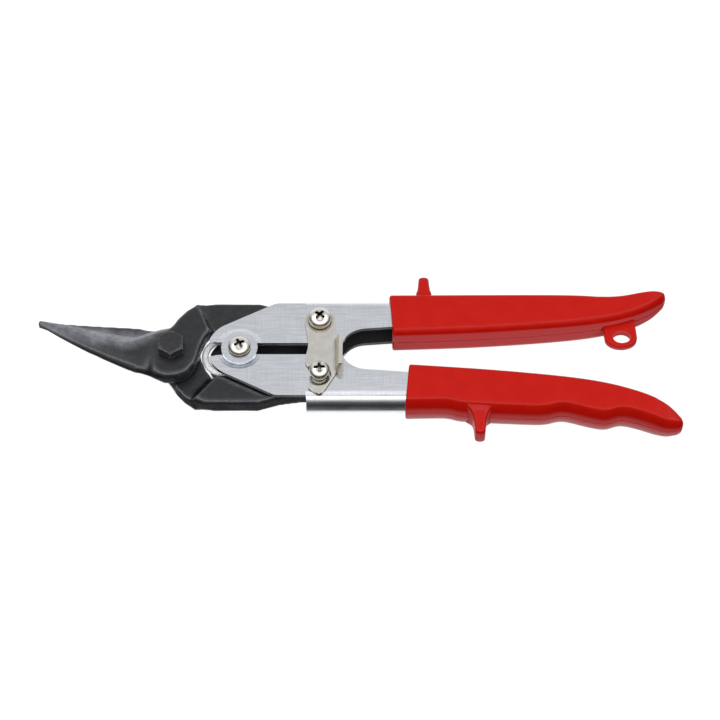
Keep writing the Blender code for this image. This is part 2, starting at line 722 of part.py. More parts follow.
def rounded_section(inner, outer, tall):
    """Box between two points in plan, its inner edges round and its back rounder."""
    middle = (inner + outer) / 2
    wide = (outer - inner).length / 2
    along = (outer - inner).normalized()
    most = GRIP_FULLNESS * min(wide, tall)
    back, edge = min(GRIP_BACK_RADIUS, most), min(GRIP_EDGE_RADIUS, most)
    ring = []
    for corner, (out, up) in enumerate(((1, 1), (-1, 1), (-1, -1), (1, -1))):
        start = math.pi / 2 * corner
        radius, steps = (back, BACK_STEPS) if out > 0 else (edge, EDGE_STEPS)
        centre = (out * (wide - radius), up * (tall - radius))
        for a, b in arc(centre, radius, start, start + math.pi / 2, steps):
            spot = middle + along * a
            ring.append((spot.x, spot.y, b))
    return ring


def grip_point(spot, side):
    """Place in plan of a point given from the handle's end and the grips' line."""
    return Vector((HANDLE_END_X + spot[0], side * (GRIP_LINE_Y + spot[1])))


def nub(spot, side):
    """Finger stop: a small fin standing out of a grip's outer side, with a round end."""
    crown = NUB_TOP / 2
    end = grip_point(spot, side)
    root_y = side * (WEB_Y + 2 * GAP)
    ends = [
        (end.x + crown * math.cos(t), end.y - side * crown * (1 - math.sin(t)))
        for t in (math.pi * k / 6 for k in range(7))
    ]
    flank = end.y - side * NUB_FLANK
    outline = [(end.x + NUB_ROOT / 2, root_y), (end.x + NUB_WAIST / 2, flank)]
    outline += ends + [(end.x - NUB_WAIST / 2, flank), (end.x - NUB_ROOT / 2, root_y)]
    return prism("nub", outline, -NUB_HALF_HEIGHT, NUB_HALF_HEIGHT, rim=NUB_TOP / 6)


def hang_tab():
    """Flat tab under the upper grip's tail, with the hole that the tool hangs by."""
    half = HANG_TAB_WIDTH / 2
    hole = grip_point(HANG_HOLE, 1)
    middle = HANDLE_END_X + HANG_TAB_X
    depth = HANG_HOLE[1] - HANG_TAB_END
    lower = [
        (middle + half * math.cos(t), hole.y + depth * math.sin(t))
        for t in (-math.pi * k / 12 for k in range(13))
    ]
    root = []
    for x in (HANG_TAB_X - HANG_TAB_LEAN - half, HANG_TAB_X - HANG_TAB_LEAN + half):
        spot = grip_point((x, height_on(UPPER_INNER, x) + HANG_TAB_ROOT), 1)
        root.append((spot.x, spot.y))
    z = HANG_TAB_THICKNESS / 2
    tab = prism("hang_tab", lower + root, -z, z, rim=HANG_TAB_THICKNESS / 5)
    outline = round_outline(hole, HANG_HOLE_WIDTH, HANG_HOLE_DEPTH)
    return cut(tab, prism("hole_tool", outline, -CUT_MARGIN, CUT_MARGIN))


def handle_pocket(side):
    """Room for the channel inside a grip, a gap wider than the flanges all round."""
    front = SLOT_END_X - CUT_MARGIN
    outline = [(front, SLOT_HALF - GAP)]
    outline += [(x + GAP, y - GAP) for x, y in reversed(waist_line())]
    outline += [
        (HANDLE_END_X + GAP, HANDLE_END_Y - GAP),
        (HANDLE_END_X + GAP, WEB_Y + GAP),
        (front, WEB_Y + GAP),
    ]
    pocket = prism("pocket_tool", [(x, side * y) for x, y in outline], -HALF - GAP, HALF + GAP)
    return cut(pocket, *back_corners(WEB_Y + GAP, HALF + GAP, BEND_RADIUS + GAP, side))


def build_grip(name, inner, outer, half, side, stop):
    """Moulded sleeve over the rear of a handle: rounded sections, closer together at its tail."""
    rings = []
    for k in range(GRIP_STATIONS + 1):
        share = math.sin(math.pi / 2 * k / GRIP_STATIONS)
        x_in = blend(inner[0][0], inner[-1][0], share)
        x_out = blend(outer[0][0], outer[-1][0], share)
        rings.append(rounded_section(
            grip_point((x_in, height_on(inner, x_in)), side),
            grip_point((x_out, height_on(outer, x_out)), side),
            height_on(half, x_out),
        ))
    grip = loft(name, rings, RED_SLEEVE)
    fuse(grip, nub(stop, side))
    if side > 0:
        fuse(grip, hang_tab())
    return cut(grip, handle_pocket(side))


def shade_round(piece):
    piece.data.shade_smooth()
    piece.data.set_sharp_from_angle(angle=SMOOTH_ANGLE)


def axis_empty(name, spot, parent):
    """An empty on a joint's axis, which carries the pieces that turn there."""
    empty = bpy.data.objects.new(name, None)
    bpy.context.collection.objects.link(empty)
    empty.empty_display_size = HEAD_RADIUS
    empty.parent = parent
    place = Vector((spot[0], spot[1], 0.0))
    if parent:
        place = place - Vector(parent["spot"])
    empty.location = place
    empty["spot"] = (spot[0], spot[1], 0.0)
    return empty


def carry(empty, *pieces):
    """Hang pieces on an empty without moving them."""
    for piece in pieces:
        piece.parent = empty
        piece.matrix_parent_inverse = Matrix.Translation(-Vector(empty["spot"]))


def build_pivot():
    """Screw, bush and nut that the two handles turn on."""
    low = -EYE_TOP - GAP
    end = low - NUT_HEIGHT - THREAD_END
    seat = EYE_TOP + GAP
    return [
        pan_screw("pivot_screw", PIVOT, SCREW_RADIUS, SCREW_HEAD_RADIUS, seat, end),
        sleeve("pivot_bush", PIVOT, SCREW_HOLE, BUSH_RADIUS, -BUSH_HALF, BUSH_HALF, PLATED_SHEET),
        nut("pivot_nut", PIVOT, NUT_FLATS, NUT_HEIGHT, low, SCREW_RADIUS, NICKEL),
    ]


def build_tang_pivot(name, spot, shank, head_radius, seat):
    """Screw, bush and nut that join one blade's tang to its handle."""
    low = -HALF - GAP
    end = low - NUT_HEIGHT - THREAD_END
    inner = shank + GAP
    reach = TANG_BUSH_HALF
    return [
        pan_screw(f"{name}_tang_screw", spot, shank, head_radius, seat, end),
        sleeve(f"{name}_tang_bush", spot, inner, BUSH_RADIUS, -reach, reach, PLATED_SHEET),
        nut(f"{name}_tang_nut", spot, NUT_FLATS, NUT_HEIGHT, low, shank, NICKEL),
    ]


def build():
    upper_handle = build_stamping("upper_handle", -1)
    lower_handle = build_stamping("lower_handle", 1)
    lower_handle.rotation_euler.x = math.pi

    upper_blade = build_blade("upper_blade", 1, UPPER_EDGE, UPPER_ROOT_BACK, UPPER_BACK_SWELL)
    lower_blade = build_blade("lower_blade", -1, LOWER_EDGE, LOWER_ROOT_BACK, LOWER_BACK_SWELL)
    blade_bolt = build_bolt()
    under_head = -HEAD_HEIGHT - GAP
    blade_nut = nut(
        "blade_nut", BOLT, BOLT_NUT_FLATS, BOLT_NUT_HEIGHT, under_head, BOLT_RADIUS, BLACK_HARDWARE
    )

    low = LATCH_HIGH + GAP
    washer_top = low + WASHER_THICKNESS
    latch_washer = sleeve(
        "latch_washer", UPPER_TANG, SCREW_HOLE, WASHER_RADIUS, low, washer_top, NICKEL
    )
    low = HALF + GAP
    collar_top = low + CATCH_COLLAR_HEIGHT
    catch_collar = sleeve(
        "catch_collar", LOWER_TANG, CATCH_SCREW_HOLE, CATCH_COLLAR_RADIUS, low, collar_top, NICKEL
    )
    upper_tang = build_tang_pivot(
        "upper", UPPER_TANG, SCREW_RADIUS, SCREW_HEAD_RADIUS, washer_top + GAP
    )
    lower_tang = build_tang_pivot(
        "lower", LOWER_TANG, CATCH_SCREW_RADIUS, CATCH_HEAD_RADIUS, collar_top + GAP
    )
    pivot = build_pivot()
    return_spring = build_spring()
    latch = build_latch()
    upper_grip = build_grip("upper_grip", UPPER_INNER, UPPER_OUTER, UPPER_HALF, 1, UPPER_NUB)
    lower_grip = build_grip("lower_grip", LOWER_INNER, LOWER_OUTER, LOWER_HALF, -1, LOWER_NUB)

    frame = axis_empty("snips_frame", PIVOT, None)
    lower_axis = axis_empty("handle_axis", PIVOT, frame)
    upper_tang_axis = axis_empty("upper_tang_axis", UPPER_TANG, frame)
    lower_tang_axis = axis_empty("lower_tang_axis", LOWER_TANG, lower_axis)
    latch_axis = axis_empty("latch_axis", UPPER_TANG, frame)
    carry(frame, upper_handle, upper_grip, return_spring, latch_washer, *pivot, *upper_tang)
    carry(lower_axis, lower_handle, lower_grip, catch_collar, *lower_tang)
    carry(upper_tang_axis, upper_blade, blade_bolt, blade_nut)
    carry(lower_tang_axis, lower_blade)
    carry(latch_axis, latch)
    return frame


def set_down(frame):
    """Put the middle of the assembly's box over the origin, with its lowest point at zero."""
    bpy.context.view_layer.update()
    corners = [
        piece.matrix_world @ Vector(corner)
        for piece in bpy.data.objects
        if piece.type == "MESH"
        for corner in piece.bound_box
    ]
    low = Vector([min(c[i] for c in corners) for i in range(3)])
    high = Vector([max(c[i] for c in corners) for i in range(3)])
    frame.location = (-(low.x + high.x) / 2, -(low.y + high.y) / 2, -low.z)
    bpy.context.view_layer.update()
    size = (high - low) * 1000
    print(f"whole tool: {size.x:.2f} x {size.y:.2f} x {size.z:.2f} mm")


def main():
    frame = build()
    for solid in bpy.data.objects:
        if solid.type == "MESH":
            shade_round(solid)
    set_down(frame)
    for axis in bpy.data.objects:
        if axis.type == "EMPTY":
            spot = axis.matrix_world.translation
            print(f"{axis.name}: {spot.x:.6f} {spot.y:.6f} {spot.z:.6f}")


main()
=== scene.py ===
# %% [markdown]
# # Aviation snips
#
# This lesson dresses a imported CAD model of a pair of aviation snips, the hand shears that a
# roofer or a fitter cuts sheet metal with. The tool has black forged blades, two plated
# sheet-steel handles with a hook latch, and red moulded grips. The CAD model fixes every size and
# every joint. Here each piece gets the edges, the small forms and the finish that the real one
# has.

# %% Load the frame
import json
import math

import bmesh
import bpy
from mathutils import Matrix, Vector, noise
from mathutils.geometry import interpolate_bezier

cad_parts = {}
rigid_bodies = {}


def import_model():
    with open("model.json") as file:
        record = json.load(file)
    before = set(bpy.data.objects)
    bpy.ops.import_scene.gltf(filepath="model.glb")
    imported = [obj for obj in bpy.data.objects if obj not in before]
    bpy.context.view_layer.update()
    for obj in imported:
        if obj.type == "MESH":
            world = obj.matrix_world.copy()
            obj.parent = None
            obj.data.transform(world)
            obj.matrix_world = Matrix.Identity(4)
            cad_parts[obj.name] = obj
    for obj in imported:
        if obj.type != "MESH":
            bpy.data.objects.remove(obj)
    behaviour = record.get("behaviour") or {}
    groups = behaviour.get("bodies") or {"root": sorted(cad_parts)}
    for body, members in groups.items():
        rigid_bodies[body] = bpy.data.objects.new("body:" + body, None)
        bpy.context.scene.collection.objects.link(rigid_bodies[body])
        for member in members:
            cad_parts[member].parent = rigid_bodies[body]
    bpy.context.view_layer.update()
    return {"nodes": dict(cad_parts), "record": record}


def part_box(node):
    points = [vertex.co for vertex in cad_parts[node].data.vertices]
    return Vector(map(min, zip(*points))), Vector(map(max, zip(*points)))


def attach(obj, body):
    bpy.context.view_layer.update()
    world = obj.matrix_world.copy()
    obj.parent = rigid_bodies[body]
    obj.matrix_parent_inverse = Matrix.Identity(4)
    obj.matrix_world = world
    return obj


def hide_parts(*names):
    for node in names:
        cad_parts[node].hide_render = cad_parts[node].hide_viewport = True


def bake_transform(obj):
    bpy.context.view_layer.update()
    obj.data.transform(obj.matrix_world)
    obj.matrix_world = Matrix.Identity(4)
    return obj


for leftover in list(bpy.data.objects):
    bpy.data.objects.remove(leftover, do_unlink=True)
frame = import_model()

# %% [markdown]
# The tool was drawn about its handle pivot, so this lesson measures from there too. The joints in
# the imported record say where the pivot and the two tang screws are. The same record tells which
# body carries each piece, and which finish it has, so nothing has to be typed twice.

# %% Landmarks
JOINTS = {joint["name"]: joint for joint in frame["record"]["behaviour"]["joints"]}
PIVOT = Vector(JOINTS["handle_open"]["pos_m"])
BODY_OF = {
    node: body for body, nodes in frame["record"]["behaviour"]["bodies"].items() for node in nodes
}
SLOT_OF = {part["node"]: part["material_slot"] for part in frame["record"]["subparts"]}
print("pivot at", [round(v * 1000, 2) for v in PIVOT], "mm;", len(BODY_OF), "pieces")

# %% [markdown]
# ## Camera
#
# The photograph was taken with a long lens, from the front and 57 degrees up. A long lens keeps
# the lines of a tool nearly parallel. The camera stands about a metre away and looks at the
# middle of the tool, so the picture's square frame holds it from tip to tail.

# %% Camera
VIEW_HEIGHT = math.radians(57)
VIEW_DISTANCE = 1.084
VIEW_TARGET = PIVOT + Vector((0.0482, -0.00137, 0.0))

camera = bpy.data.objects.new("camera", bpy.data.cameras.new("camera"))
camera.data.lens = 135
camera.data.sensor_width = 36
camera.location = VIEW_TARGET + VIEW_DISTANCE * Vector(
    (0.0, -math.cos(VIEW_HEIGHT), math.sin(VIEW_HEIGHT))
)
camera.rotation_euler = (math.pi / 2 - VIEW_HEIGHT, 0.0, 0.0)
bpy.context.collection.objects.link(camera)
bpy.context.scene.camera = camera
print("camera", [round(v, 3) for v in camera.location])

# %% [markdown]
# ## Small helpers for node trees
#
# Light and finishes are both drawn with nodes. The first two helpers fill a node's sockets and
# add a node, three more add the sums that come back most often, and the last two start a node
# group with named sockets and close it. With these the cells below can stay short.

# %% Node helpers


def fill(tree, node, values):
    """Put values on a node's input sockets: a socket is linked, anything else is set."""
    for socket, value in values.items():
        if isinstance(value, bpy.types.NodeSocket):
            tree.links.new(value, node.inputs[socket])
        else:
            node.inputs[socket].default_value = value


def add_node(tree, kind, values=None, **settings):
    """Add a node; settings are its own choices, values go on its input sockets."""
    made = tree.nodes.new(kind)
    for name, value in settings.items():
        setattr(made, name, value)
    fill(tree, made, values or {})
    return made


def maths(tree, operation, first, second=0.0, clamp=False):
    """One sum on two numbers; gives the socket of its answer."""
    made = add_node(
        tree, "ShaderNodeMath", {0: first, 1: second}, operation=operation, use_clamp=clamp
    )
    return made.outputs["Value"]


def vector_maths(tree, operation, first, second=(0.0, 0.0, 0.0)):
    """One sum on two vectors; gives the socket of its answer, a vector or a number."""
    made = add_node(tree, "ShaderNodeVectorMath", {0: first, 1: second}, operation=operation)
    return made.outputs["Value" if operation in ("DOT_PRODUCT", "DISTANCE") else "Vector"]


def share_from(tree, value, start, end):
    """0 where a value is at start, 1 where it is at end, and a straight run between them."""
    made = add_node(
        tree, "ShaderNodeMapRange", {"Value": value, "From Min": start, "From Max": end}
    )
    return made.outputs["Result"]


def new_group(name, output, **inputs):
    """A shader node group with one number as output; gives its tree, its inputs and its end."""
    tree = bpy.data.node_groups.new(name, "ShaderNodeTree")
    for label, default in inputs.items():
        kind = "NodeSocketVector" if isinstance(default, tuple) else "NodeSocketFloat"
        socket = tree.interface.new_socket(label, in_out="INPUT", socket_type=kind)
        socket.default_value = default
    tree.interface.new_socket(output, in_out="OUTPUT", socket_type="NodeSocketFloat")
    return tree, tree.nodes.new("NodeGroupInput").outputs, tree.nodes.new("NodeGroupOutput")


def end_group(group, end, answer):
    """Send a group's answer to its end, and print its sockets."""
    group.links.new(answer, end.inputs[0])
    print("group", group.name, [socket.name for socket in group.interface.items_tree])


# %% [markdown]
# ## Floor and light
#
# Bright metal shows what stands around it more than its own colour. In the picture the flats are
# light grey, and the round back of the lower handle carries a white line, a dark band and a light
# foot. So the room is drawn as a world, by two ramps that run from straight down to straight up.
# Behind the tool it is evenly light. In front and at the sides it is dark up to the horizon, a
# bright lamp hangs half way up, and a darker band lies above the lamp. A world is softer and
# simpler than many lamps. The floor glows as a light table does, takes no shadow, and stays out
# of the mirror images, so that the dark band reads clean.

# %% Floor
FLOOR_SIZE = 6.0
FLOOR_GREY = (0.15, 0.15, 0.15, 1.0)
FLOOR_GLOW = 0.93

bm = bmesh.new()
bmesh.ops.create_grid(bm, x_segments=1, y_segments=1, size=FLOOR_SIZE / 2)
floor_mesh = bpy.data.meshes.new("floor")
bm.to_mesh(floor_mesh)
bm.free()
floor = bpy.data.objects.new("floor", floor_mesh)
floor.visible_glossy = False
floor.visible_diffuse = False
floor.visible_shadow = False
bpy.context.collection.objects.link(floor)

floor_white = bpy.data.materials.new("floor_white")
floor_white.use_nodes = True
fill(floor_white.node_tree, floor_white.node_tree.nodes["Principled BSDF"], {
    "Base Color": FLOOR_GREY,
    "Roughness": 0.9,
    "Specular IOR Level": 0.0,
    "Emission Color": (1.0, 1.0, 1.0, 1.0),
    "Emission Strength": FLOOR_GLOW,
})
floor_mesh.materials.append(floor_white)
print("floor", FLOOR_SIZE, "m square")

# %% Studio world
ROOM_AHEAD = [
    (-1.0, 0.95), (-0.945, 0.95), (-0.88, 0.08), (-0.7, 0.04), (-0.36, 0.05), (0.02, 0.1),
    (0.19, 0.24), (0.36, 0.5), (0.52, 0.85), (0.62, 1.4), (0.69, 3.3), (0.81, 3.3),
    (0.88, 1.0), (0.95, 0.4), (0.985, 0.95), (1.0, 1.1),
]
ROOM_BEHIND = [
    (-1.0, 0.95), (-0.25, 1.0), (0.1, 0.8), (0.55, 0.62), (0.84, 0.62),
    (0.95, 0.9), (1.0, 1.1),
]
ROOM_TURN = (0.35, 0.85)
ROOM_TINT = (0.98, 0.99, 1.0)


def room_side(tree, height, stops):
    """Light of the room by height, from stops between straight down, -1, and straight up, 1."""
    ramp = add_node(tree, "ShaderNodeValToRGB", {"Fac": height})
    colours = ramp.color_ramp.elements
    while len(colours) < len(stops):
        colours.new(0.5)
    for colour, (level, light) in zip(colours, stops):
        colour.position = (level + 1) / 2
        colour.color = (*(light * share for share in ROOM_TINT), 1.0)
    return ramp.outputs["Color"]


world = bpy.data.worlds.new("studio")
bpy.context.scene.world = world
world.use_nodes = True
tree = world.node_tree
way = add_node(tree, "ShaderNodeTexCoord").outputs["Generated"]
up = add_node(tree, "ShaderNodeSeparateXYZ", {"Vector": way}).outputs["Z"]
height = share_from(tree, up, -1.0, 1.0)
level_way = vector_maths(tree, "NORMALIZE", vector_maths(tree, "MULTIPLY", way, (1.0, 1.0, 0.0)))
behind = add_node(tree, "ShaderNodeSeparateXYZ", {"Vector": level_way}).outputs["Y"]
room = add_node(tree, "ShaderNodeMix", {
    "Factor": share_from(tree, behind, *ROOM_TURN),
    6: room_side(tree, height, ROOM_AHEAD),
    7: room_side(tree, height, ROOM_BEHIND),
}, data_type="RGBA")
fill(tree, tree.nodes["Background"], {"Color": room.outputs[2]})
bpy.context.scene.view_settings.view_transform = "Standard"
print("room", len(ROOM_AHEAD), "levels ahead,", len(ROOM_BEHIND), "behind")

# %% [markdown]
# ## Shared surface effects
#
# What more than one finish needs is built once, as a node group, and each finish sets its own
# values. *Grain* is a noise that can be stretched, so one group makes the scale of a forging, the
# streaks of brushed sheet and the faint mottle of moulded plastic. *Rubbed and lit edge* finds the
# places where the surface turns a corner: it compares the true normal with one that is averaged
# over a small radius. A finish that lightens those corners paints rubbed wear and a highlight at
# once.

# %% Grain group
grain, given, end = new_group(
    "grain", "Amount", Stretch=(1.0, 1.0, 1.0), Scale=500.0, Detail=3.0, Low=0.35, High=0.65
)
spot = add_node(grain, "ShaderNodeTexCoord").outputs["Object"]
flecks = add_node(grain, "ShaderNodeTexNoise", {
    "Vector": vector_maths(grain, "MULTIPLY", spot, given["Stretch"]),
    "Scale": given["Scale"],
    "Detail": given["Detail"],
})
end_group(grain, end, share_from(grain, flecks.outputs["Fac"], given["Low"], given["High"]))

# %% Rubbed and lit edge group
rubbed_and_lit, given, end = new_group("rubbed_and_lit_edge", "Edge", Radius=0.0006, Gain=6.0)
rounded = add_node(rubbed_and_lit, "ShaderNodeBevel", {"Radius": given["Radius"]}, samples=4)
true_normal = add_node(rubbed_and_lit, "ShaderNodeNewGeometry").outputs["Normal"]
agree = vector_maths(rubbed_and_lit, "DOT_PRODUCT", rounded.outputs["Normal"], true_normal)
turned_away = maths(rubbed_and_lit, "SUBTRACT", 1.0, agree)
end_group(rubbed_and_lit, end, maths(rubbed_and_lit, "MULTIPLY", turned_away, given["Gain"], clamp=True))

# %% [markdown]
# Three more effects tell where on the tool a spot is. *Crevice shade* is 1 where other surfaces
# stand close by, and finishes darken those places as painted shade, so the cross of a screw and
# the corner under its head look deep. *Sheen line* is 1 along a straight line on the piece and
# fades away from it, for a painted sheen along a blade's jaw. *Upright wall* is 1 where the
# surface stands up instead of lying flat, for sides painted paler on the red grips and darker on
# the nickel parts, to stand for the light and shade that sides get.

# %% Crevice group
crevice_shade, given, end = new_group("crevice_shade", "Depth", Reach=0.0015, Gain=1.0)
open_share = add_node(
    crevice_shade, "ShaderNodeAmbientOcclusion", {"Distance": given["Reach"]}, samples=8
)
shut_share = maths(crevice_shade, "SUBTRACT", 1.0, open_share.outputs["AO"])
end_group(crevice_shade, end, maths(crevice_shade, "MULTIPLY", shut_share, given["Gain"], clamp=True))

# %% Sheen line group
sheen_line, given, end = new_group(
    "sheen_line", "Sheen", Start=(0.0, 0.0, 0.0), End=(1.0, 0.0, 0.0), Width=0.01
)
spot = add_node(sheen_line, "ShaderNodeTexCoord").outputs["Object"]
spot = vector_maths(sheen_line, "MULTIPLY", spot, (1.0, 1.0, 0.0))
run = vector_maths(sheen_line, "SUBTRACT", given["End"], given["Start"])
offset = vector_maths(sheen_line, "SUBTRACT", spot, given["Start"])
passed = vector_maths(sheen_line, "DOT_PRODUCT", offset, run)
whole = vector_maths(sheen_line, "DOT_PRODUCT", run, run)
share = maths(sheen_line, "DIVIDE", passed, whole, clamp=True)
nearest = add_node(sheen_line, "ShaderNodeVectorMath", {0: run, "Scale": share}, operation="SCALE")
fade = add_node(
    sheen_line,
    "ShaderNodeMapRange",
    {
        "Value": vector_maths(sheen_line, "DISTANCE", offset, nearest.outputs["Vector"]),
        "From Min": given["Width"],
        "From Max": 0.0,
    },
    interpolation_type="SMOOTHSTEP",
)
end_group(sheen_line, end, fade.outputs["Result"])

# %% Upright wall group
upright, given, end = new_group("upright_wall", "Wall", Start=0.2, End=0.0)
facing = add_node(upright, "ShaderNodeSeparateXYZ", {
    "Vector": add_node(upright, "ShaderNodeNewGeometry").outputs["Normal"],
})
end_group(upright, end, share_from(upright, facing.outputs["Z"], given["Start"], given["End"]))

# %% [markdown]
# ## Finishes
#
# Every finish below is one Principled shader whose colour, roughness and normal come from those
# groups. Mixing two colours by a grain is the plainest way to keep a surface from looking like a
# swatch, and a little of the same grain in the roughness breaks up its reflections.

# %% Finish helpers
FINISH = {}


def new_finish(name):
    """A new material, kept in FINISH; gives its tree and its Principled shader."""
    FINISH[name] = bpy.data.materials.new(name)
    FINISH[name].use_nodes = True
    print("finish", name)
    return FINISH[name].node_tree, FINISH[name].node_tree.nodes["Principled BSDF"]


def use_group(tree, group, **values):
    """Place a group in a material with its own values; gives its first output."""
    return add_node(tree, "ShaderNodeGroup", values, node_tree=group).outputs[0]


def mix_colours(tree, share, first, second):
    """Blend two colours, or a colour and a socket, by a share from 0 to 1."""
    first, second = (
        colour if isinstance(colour, bpy.types.NodeSocket) else (*colour, 1.0)
        for colour in (first, second)
    )
    made = add_node(
        tree, "ShaderNodeMix", {"Factor": share, 6: first, 7: second}, data_type="RGBA"
    )
    return made.outputs[2]


def between(tree, share, low, high):
    """A number that runs from low to high with a share from 0 to 1."""
    made = add_node(tree, "ShaderNodeMapRange", {"Value": share, "To Min": low, "To Max": high})
    return made.outputs["Result"]


def bump(tree, height, strength, distance):
    """A normal that a height from 0 to 1 tips, as dents of that distance would."""
    made = add_node(
        tree, "ShaderNodeBump", {"Height": height, "Strength": strength, "Distance": distance}
    )
    return made.outputs["Normal"]


# %% [markdown]
# ### Black forging
#
# The blades are drop-forged and blackened. Scale leaves a soft mottle of dark greys, and the
# corners and ridges are painted a little lighter, partly for rubbed wear and partly as a painted
# highlight. The rubbed-and-lit-edge group could find them, but Cycles also knows how much a dense
# mesh bulges at each vertex, its pointiness, and that follows the wide rounding of a forging
# better. The slope behind the cutting edge gets a painted sheen, a lighter grey laid in patches
# along three lines on the jaw.

# %% Black forging
JAW_SLOPE = [(-0.0778, 0.0153), (-0.0568, 0.0089), (-0.0454, 0.0066), (-0.038, 0.0082)]
JAW_SHEEN_WIDTH = 0.008
JAW_SHEEN = 0.6
RIDGE_BULGE = (0.505, 0.54)

tree, shader = new_finish("black_forged_steel")
scale_marks = use_group(tree, grain, Scale=420.0, Detail=6.0, Low=0.3, High=0.72)
pits = use_group(tree, grain, Scale=1500.0, Detail=4.0, Low=0.32, High=0.62)
bulge = add_node(tree, "ShaderNodeNewGeometry").outputs["Pointiness"]
colour = mix_colours(tree, scale_marks, (0.001, 0.0011, 0.0014), (0.011, 0.0116, 0.0144))
# Painted sheen: a lighter grey in patches along three lines on the jaw's slope.
for start, end in zip(JAW_SLOPE, JAW_SLOPE[1:]):
    start, end = (PIVOT.xy + Vector(point) for point in (start, end))
    sheen_share = use_group(
        tree, sheen_line, Start=(*start, 0.0), End=(*end, 0.0), Width=JAW_SHEEN_WIDTH
    )
    sheen_strength = maths(tree, "MULTIPLY", sheen_share, JAW_SHEEN)
    patchy = maths(tree, "MULTIPLY", sheen_strength, between(tree, scale_marks, 0.45, 1.0))
    colour = mix_colours(tree, patchy, colour, (0.30, 0.31, 0.35))
# Ridges painted lighter by pointiness, partly for rubbed wear and partly as a painted highlight.
ridge = share_from(tree, bulge, *RIDGE_BULGE)
colour = mix_colours(tree, ridge, colour, (0.085, 0.088, 0.10))
fill(tree, shader, {
    "Base Color": colour,
    "Roughness": between(tree, scale_marks, 0.32, 0.24),
    "Specular IOR Level": 0.64,
    "Normal": bump(tree, pits, 0.16, 0.0002),
})

# %% [markdown]
# ### Black hardware
#
# The hex bolt and its nut are oiled black steel, smoother than the forging but of the same
# family. Their corners are painted lighter by the rubbed-and-lit-edge group, partly for the wear
# of a spanner and partly as a painted highlight.

# %% Black hardware
tree, shader = new_finish("black_hardware")
smudge = use_group(tree, grain, Scale=900.0, Detail=4.0)
# Corners painted lighter: spanner wear and a painted highlight.
edge = use_group(tree, rubbed_and_lit, Radius=0.0005, Gain=2.5)
colour = mix_colours(tree, smudge, (0.010, 0.010, 0.012), (0.022, 0.022, 0.025))
colour = mix_colours(tree, edge, colour, (0.22, 0.22, 0.24))
fill(tree, shader, {"Base Color": colour, "Roughness": between(tree, smudge, 0.3, 0.45)})

# %% [markdown]
# ### Plated sheet
#
# The handles are pressed from sheet that was brushed along its length and then plated bright.
# Long thin grain gives the brush lines, and a weaker grain across them the marks of the press. An
# image of brushed steel would do, but a noise has no seams. The inside of the folded channel lies
# in shade, and a mask by height and depth paints it a dark, dull, non-metal grey as painted shade.

# %% Plated sheet
CHANNEL_INSIDE = 0.0046
WEB_INSIDE = 0.0226


def within(tree, value, middle, reach):
    """1 where a value is closer to its middle than reach, else 0."""
    away = maths(tree, "ABSOLUTE", maths(tree, "SUBTRACT", value, middle))
    return maths(tree, "LESS_THAN", away, reach)


tree, shader = new_finish("plated_sheet")
brush = use_group(
    tree, grain, Stretch=(0.05, 1.0, 1.0), Scale=2300.0, Detail=3.0, Low=0.33, High=0.67
)
cross = use_group(
    tree, grain, Stretch=(1.0, 0.06, 0.06), Scale=1900.0, Detail=2.0, Low=0.38, High=0.7
)
cloud = use_group(tree, grain, Scale=90.0, Detail=2.0)
place = add_node(tree, "ShaderNodeSeparateXYZ", {
    "Vector": add_node(tree, "ShaderNodeTexCoord").outputs["Object"],
})
low_enough = within(tree, place.outputs["Z"], PIVOT.z, CHANNEL_INSIDE)
deep_enough = within(tree, place.outputs["Y"], PIVOT.y, WEB_INSIDE)
# Painted shade: the inside of the channel is coloured near black and loses its metal.
inside = maths(tree, "MULTIPLY", low_enough, deep_enough)
colour = mix_colours(tree, brush, (0.76, 0.785, 0.835), (0.93, 0.955, 0.995))
colour = mix_colours(tree, between(tree, cross, 0.0, 0.5), colour, (0.72, 0.745, 0.79))
colour = mix_colours(tree, inside, colour, (0.03, 0.029, 0.03))
fill(tree, shader, {
    "Base Color": colour,
    "Roughness": between(tree, cloud, 0.14, 0.22),
    "Metallic": between(tree, inside, 1.0, 0.0),
    "Normal": bump(tree, brush, 0.04, 0.0001),
})

# %% [markdown]
# ### Nickel
#
# The latch, the screws and their nuts have a warmer plating. Nickel is slightly yellow beside
# zinc or chrome, and it is polished, so the roughness is low and only lightly clouded. The upright
# sides of these small parts are painted a dark brown as painted shade, which draws a dark line
# round each of them. The upright-wall group marks those sides, and a second one takes the faces
# that look down out of the mark again. The crevice-shade group paints near-black shade into the
# cross of each screw and the corner under its head.

# %% Nickel
tree, shader = new_finish("nickel_plate")
cloud = use_group(tree, grain, Scale=260.0, Detail=3.0)
colour = mix_colours(tree, cloud, (0.80, 0.77, 0.70), (0.88, 0.85, 0.79))
# Painted shade: upright sides coloured dark brown.
painted_wall_light_and_shade = use_group(tree, upright, Start=0.7, End=0.25)
under = use_group(tree, upright, Start=-0.3, End=-0.6)
painted_wall_light_and_shade = maths(tree, "SUBTRACT", painted_wall_light_and_shade, under, clamp=True)
colour = mix_colours(tree, painted_wall_light_and_shade, colour, (0.25, 0.215, 0.16))
# Painted shade in the cross recess and in the corner under each head.
deep = use_group(tree, crevice_shade, Reach=0.0016, Gain=1.25)
colour = mix_colours(tree, deep, colour, (0.045, 0.036, 0.022))
fill(tree, shader, {
    "Base Color": colour,
    "Roughness": between(tree, cloud, 0.14, 0.2),
    "Metallic": 1.0,
    "Normal": bump(tree, cloud, 0.03, 0.0001),
})

# %% [markdown]
# ### Spring wire
#
# The return spring is bright drawn wire. Drawing leaves fine lines along the wire, which a grain
# that is only a little rough stands in for.

# %% Spring wire
tree, shader = new_finish("spring_wire")
drawn = use_group(tree, grain, Scale=1500.0, Detail=2.0)
colour = mix_colours(tree, drawn, (0.88, 0.88, 0.89), (0.95, 0.95, 0.96))
fill(tree, shader, {
    "Base Color": colour,
    "Roughness": between(tree, drawn, 0.5, 0.6),
    "Metallic": 0.15,
})
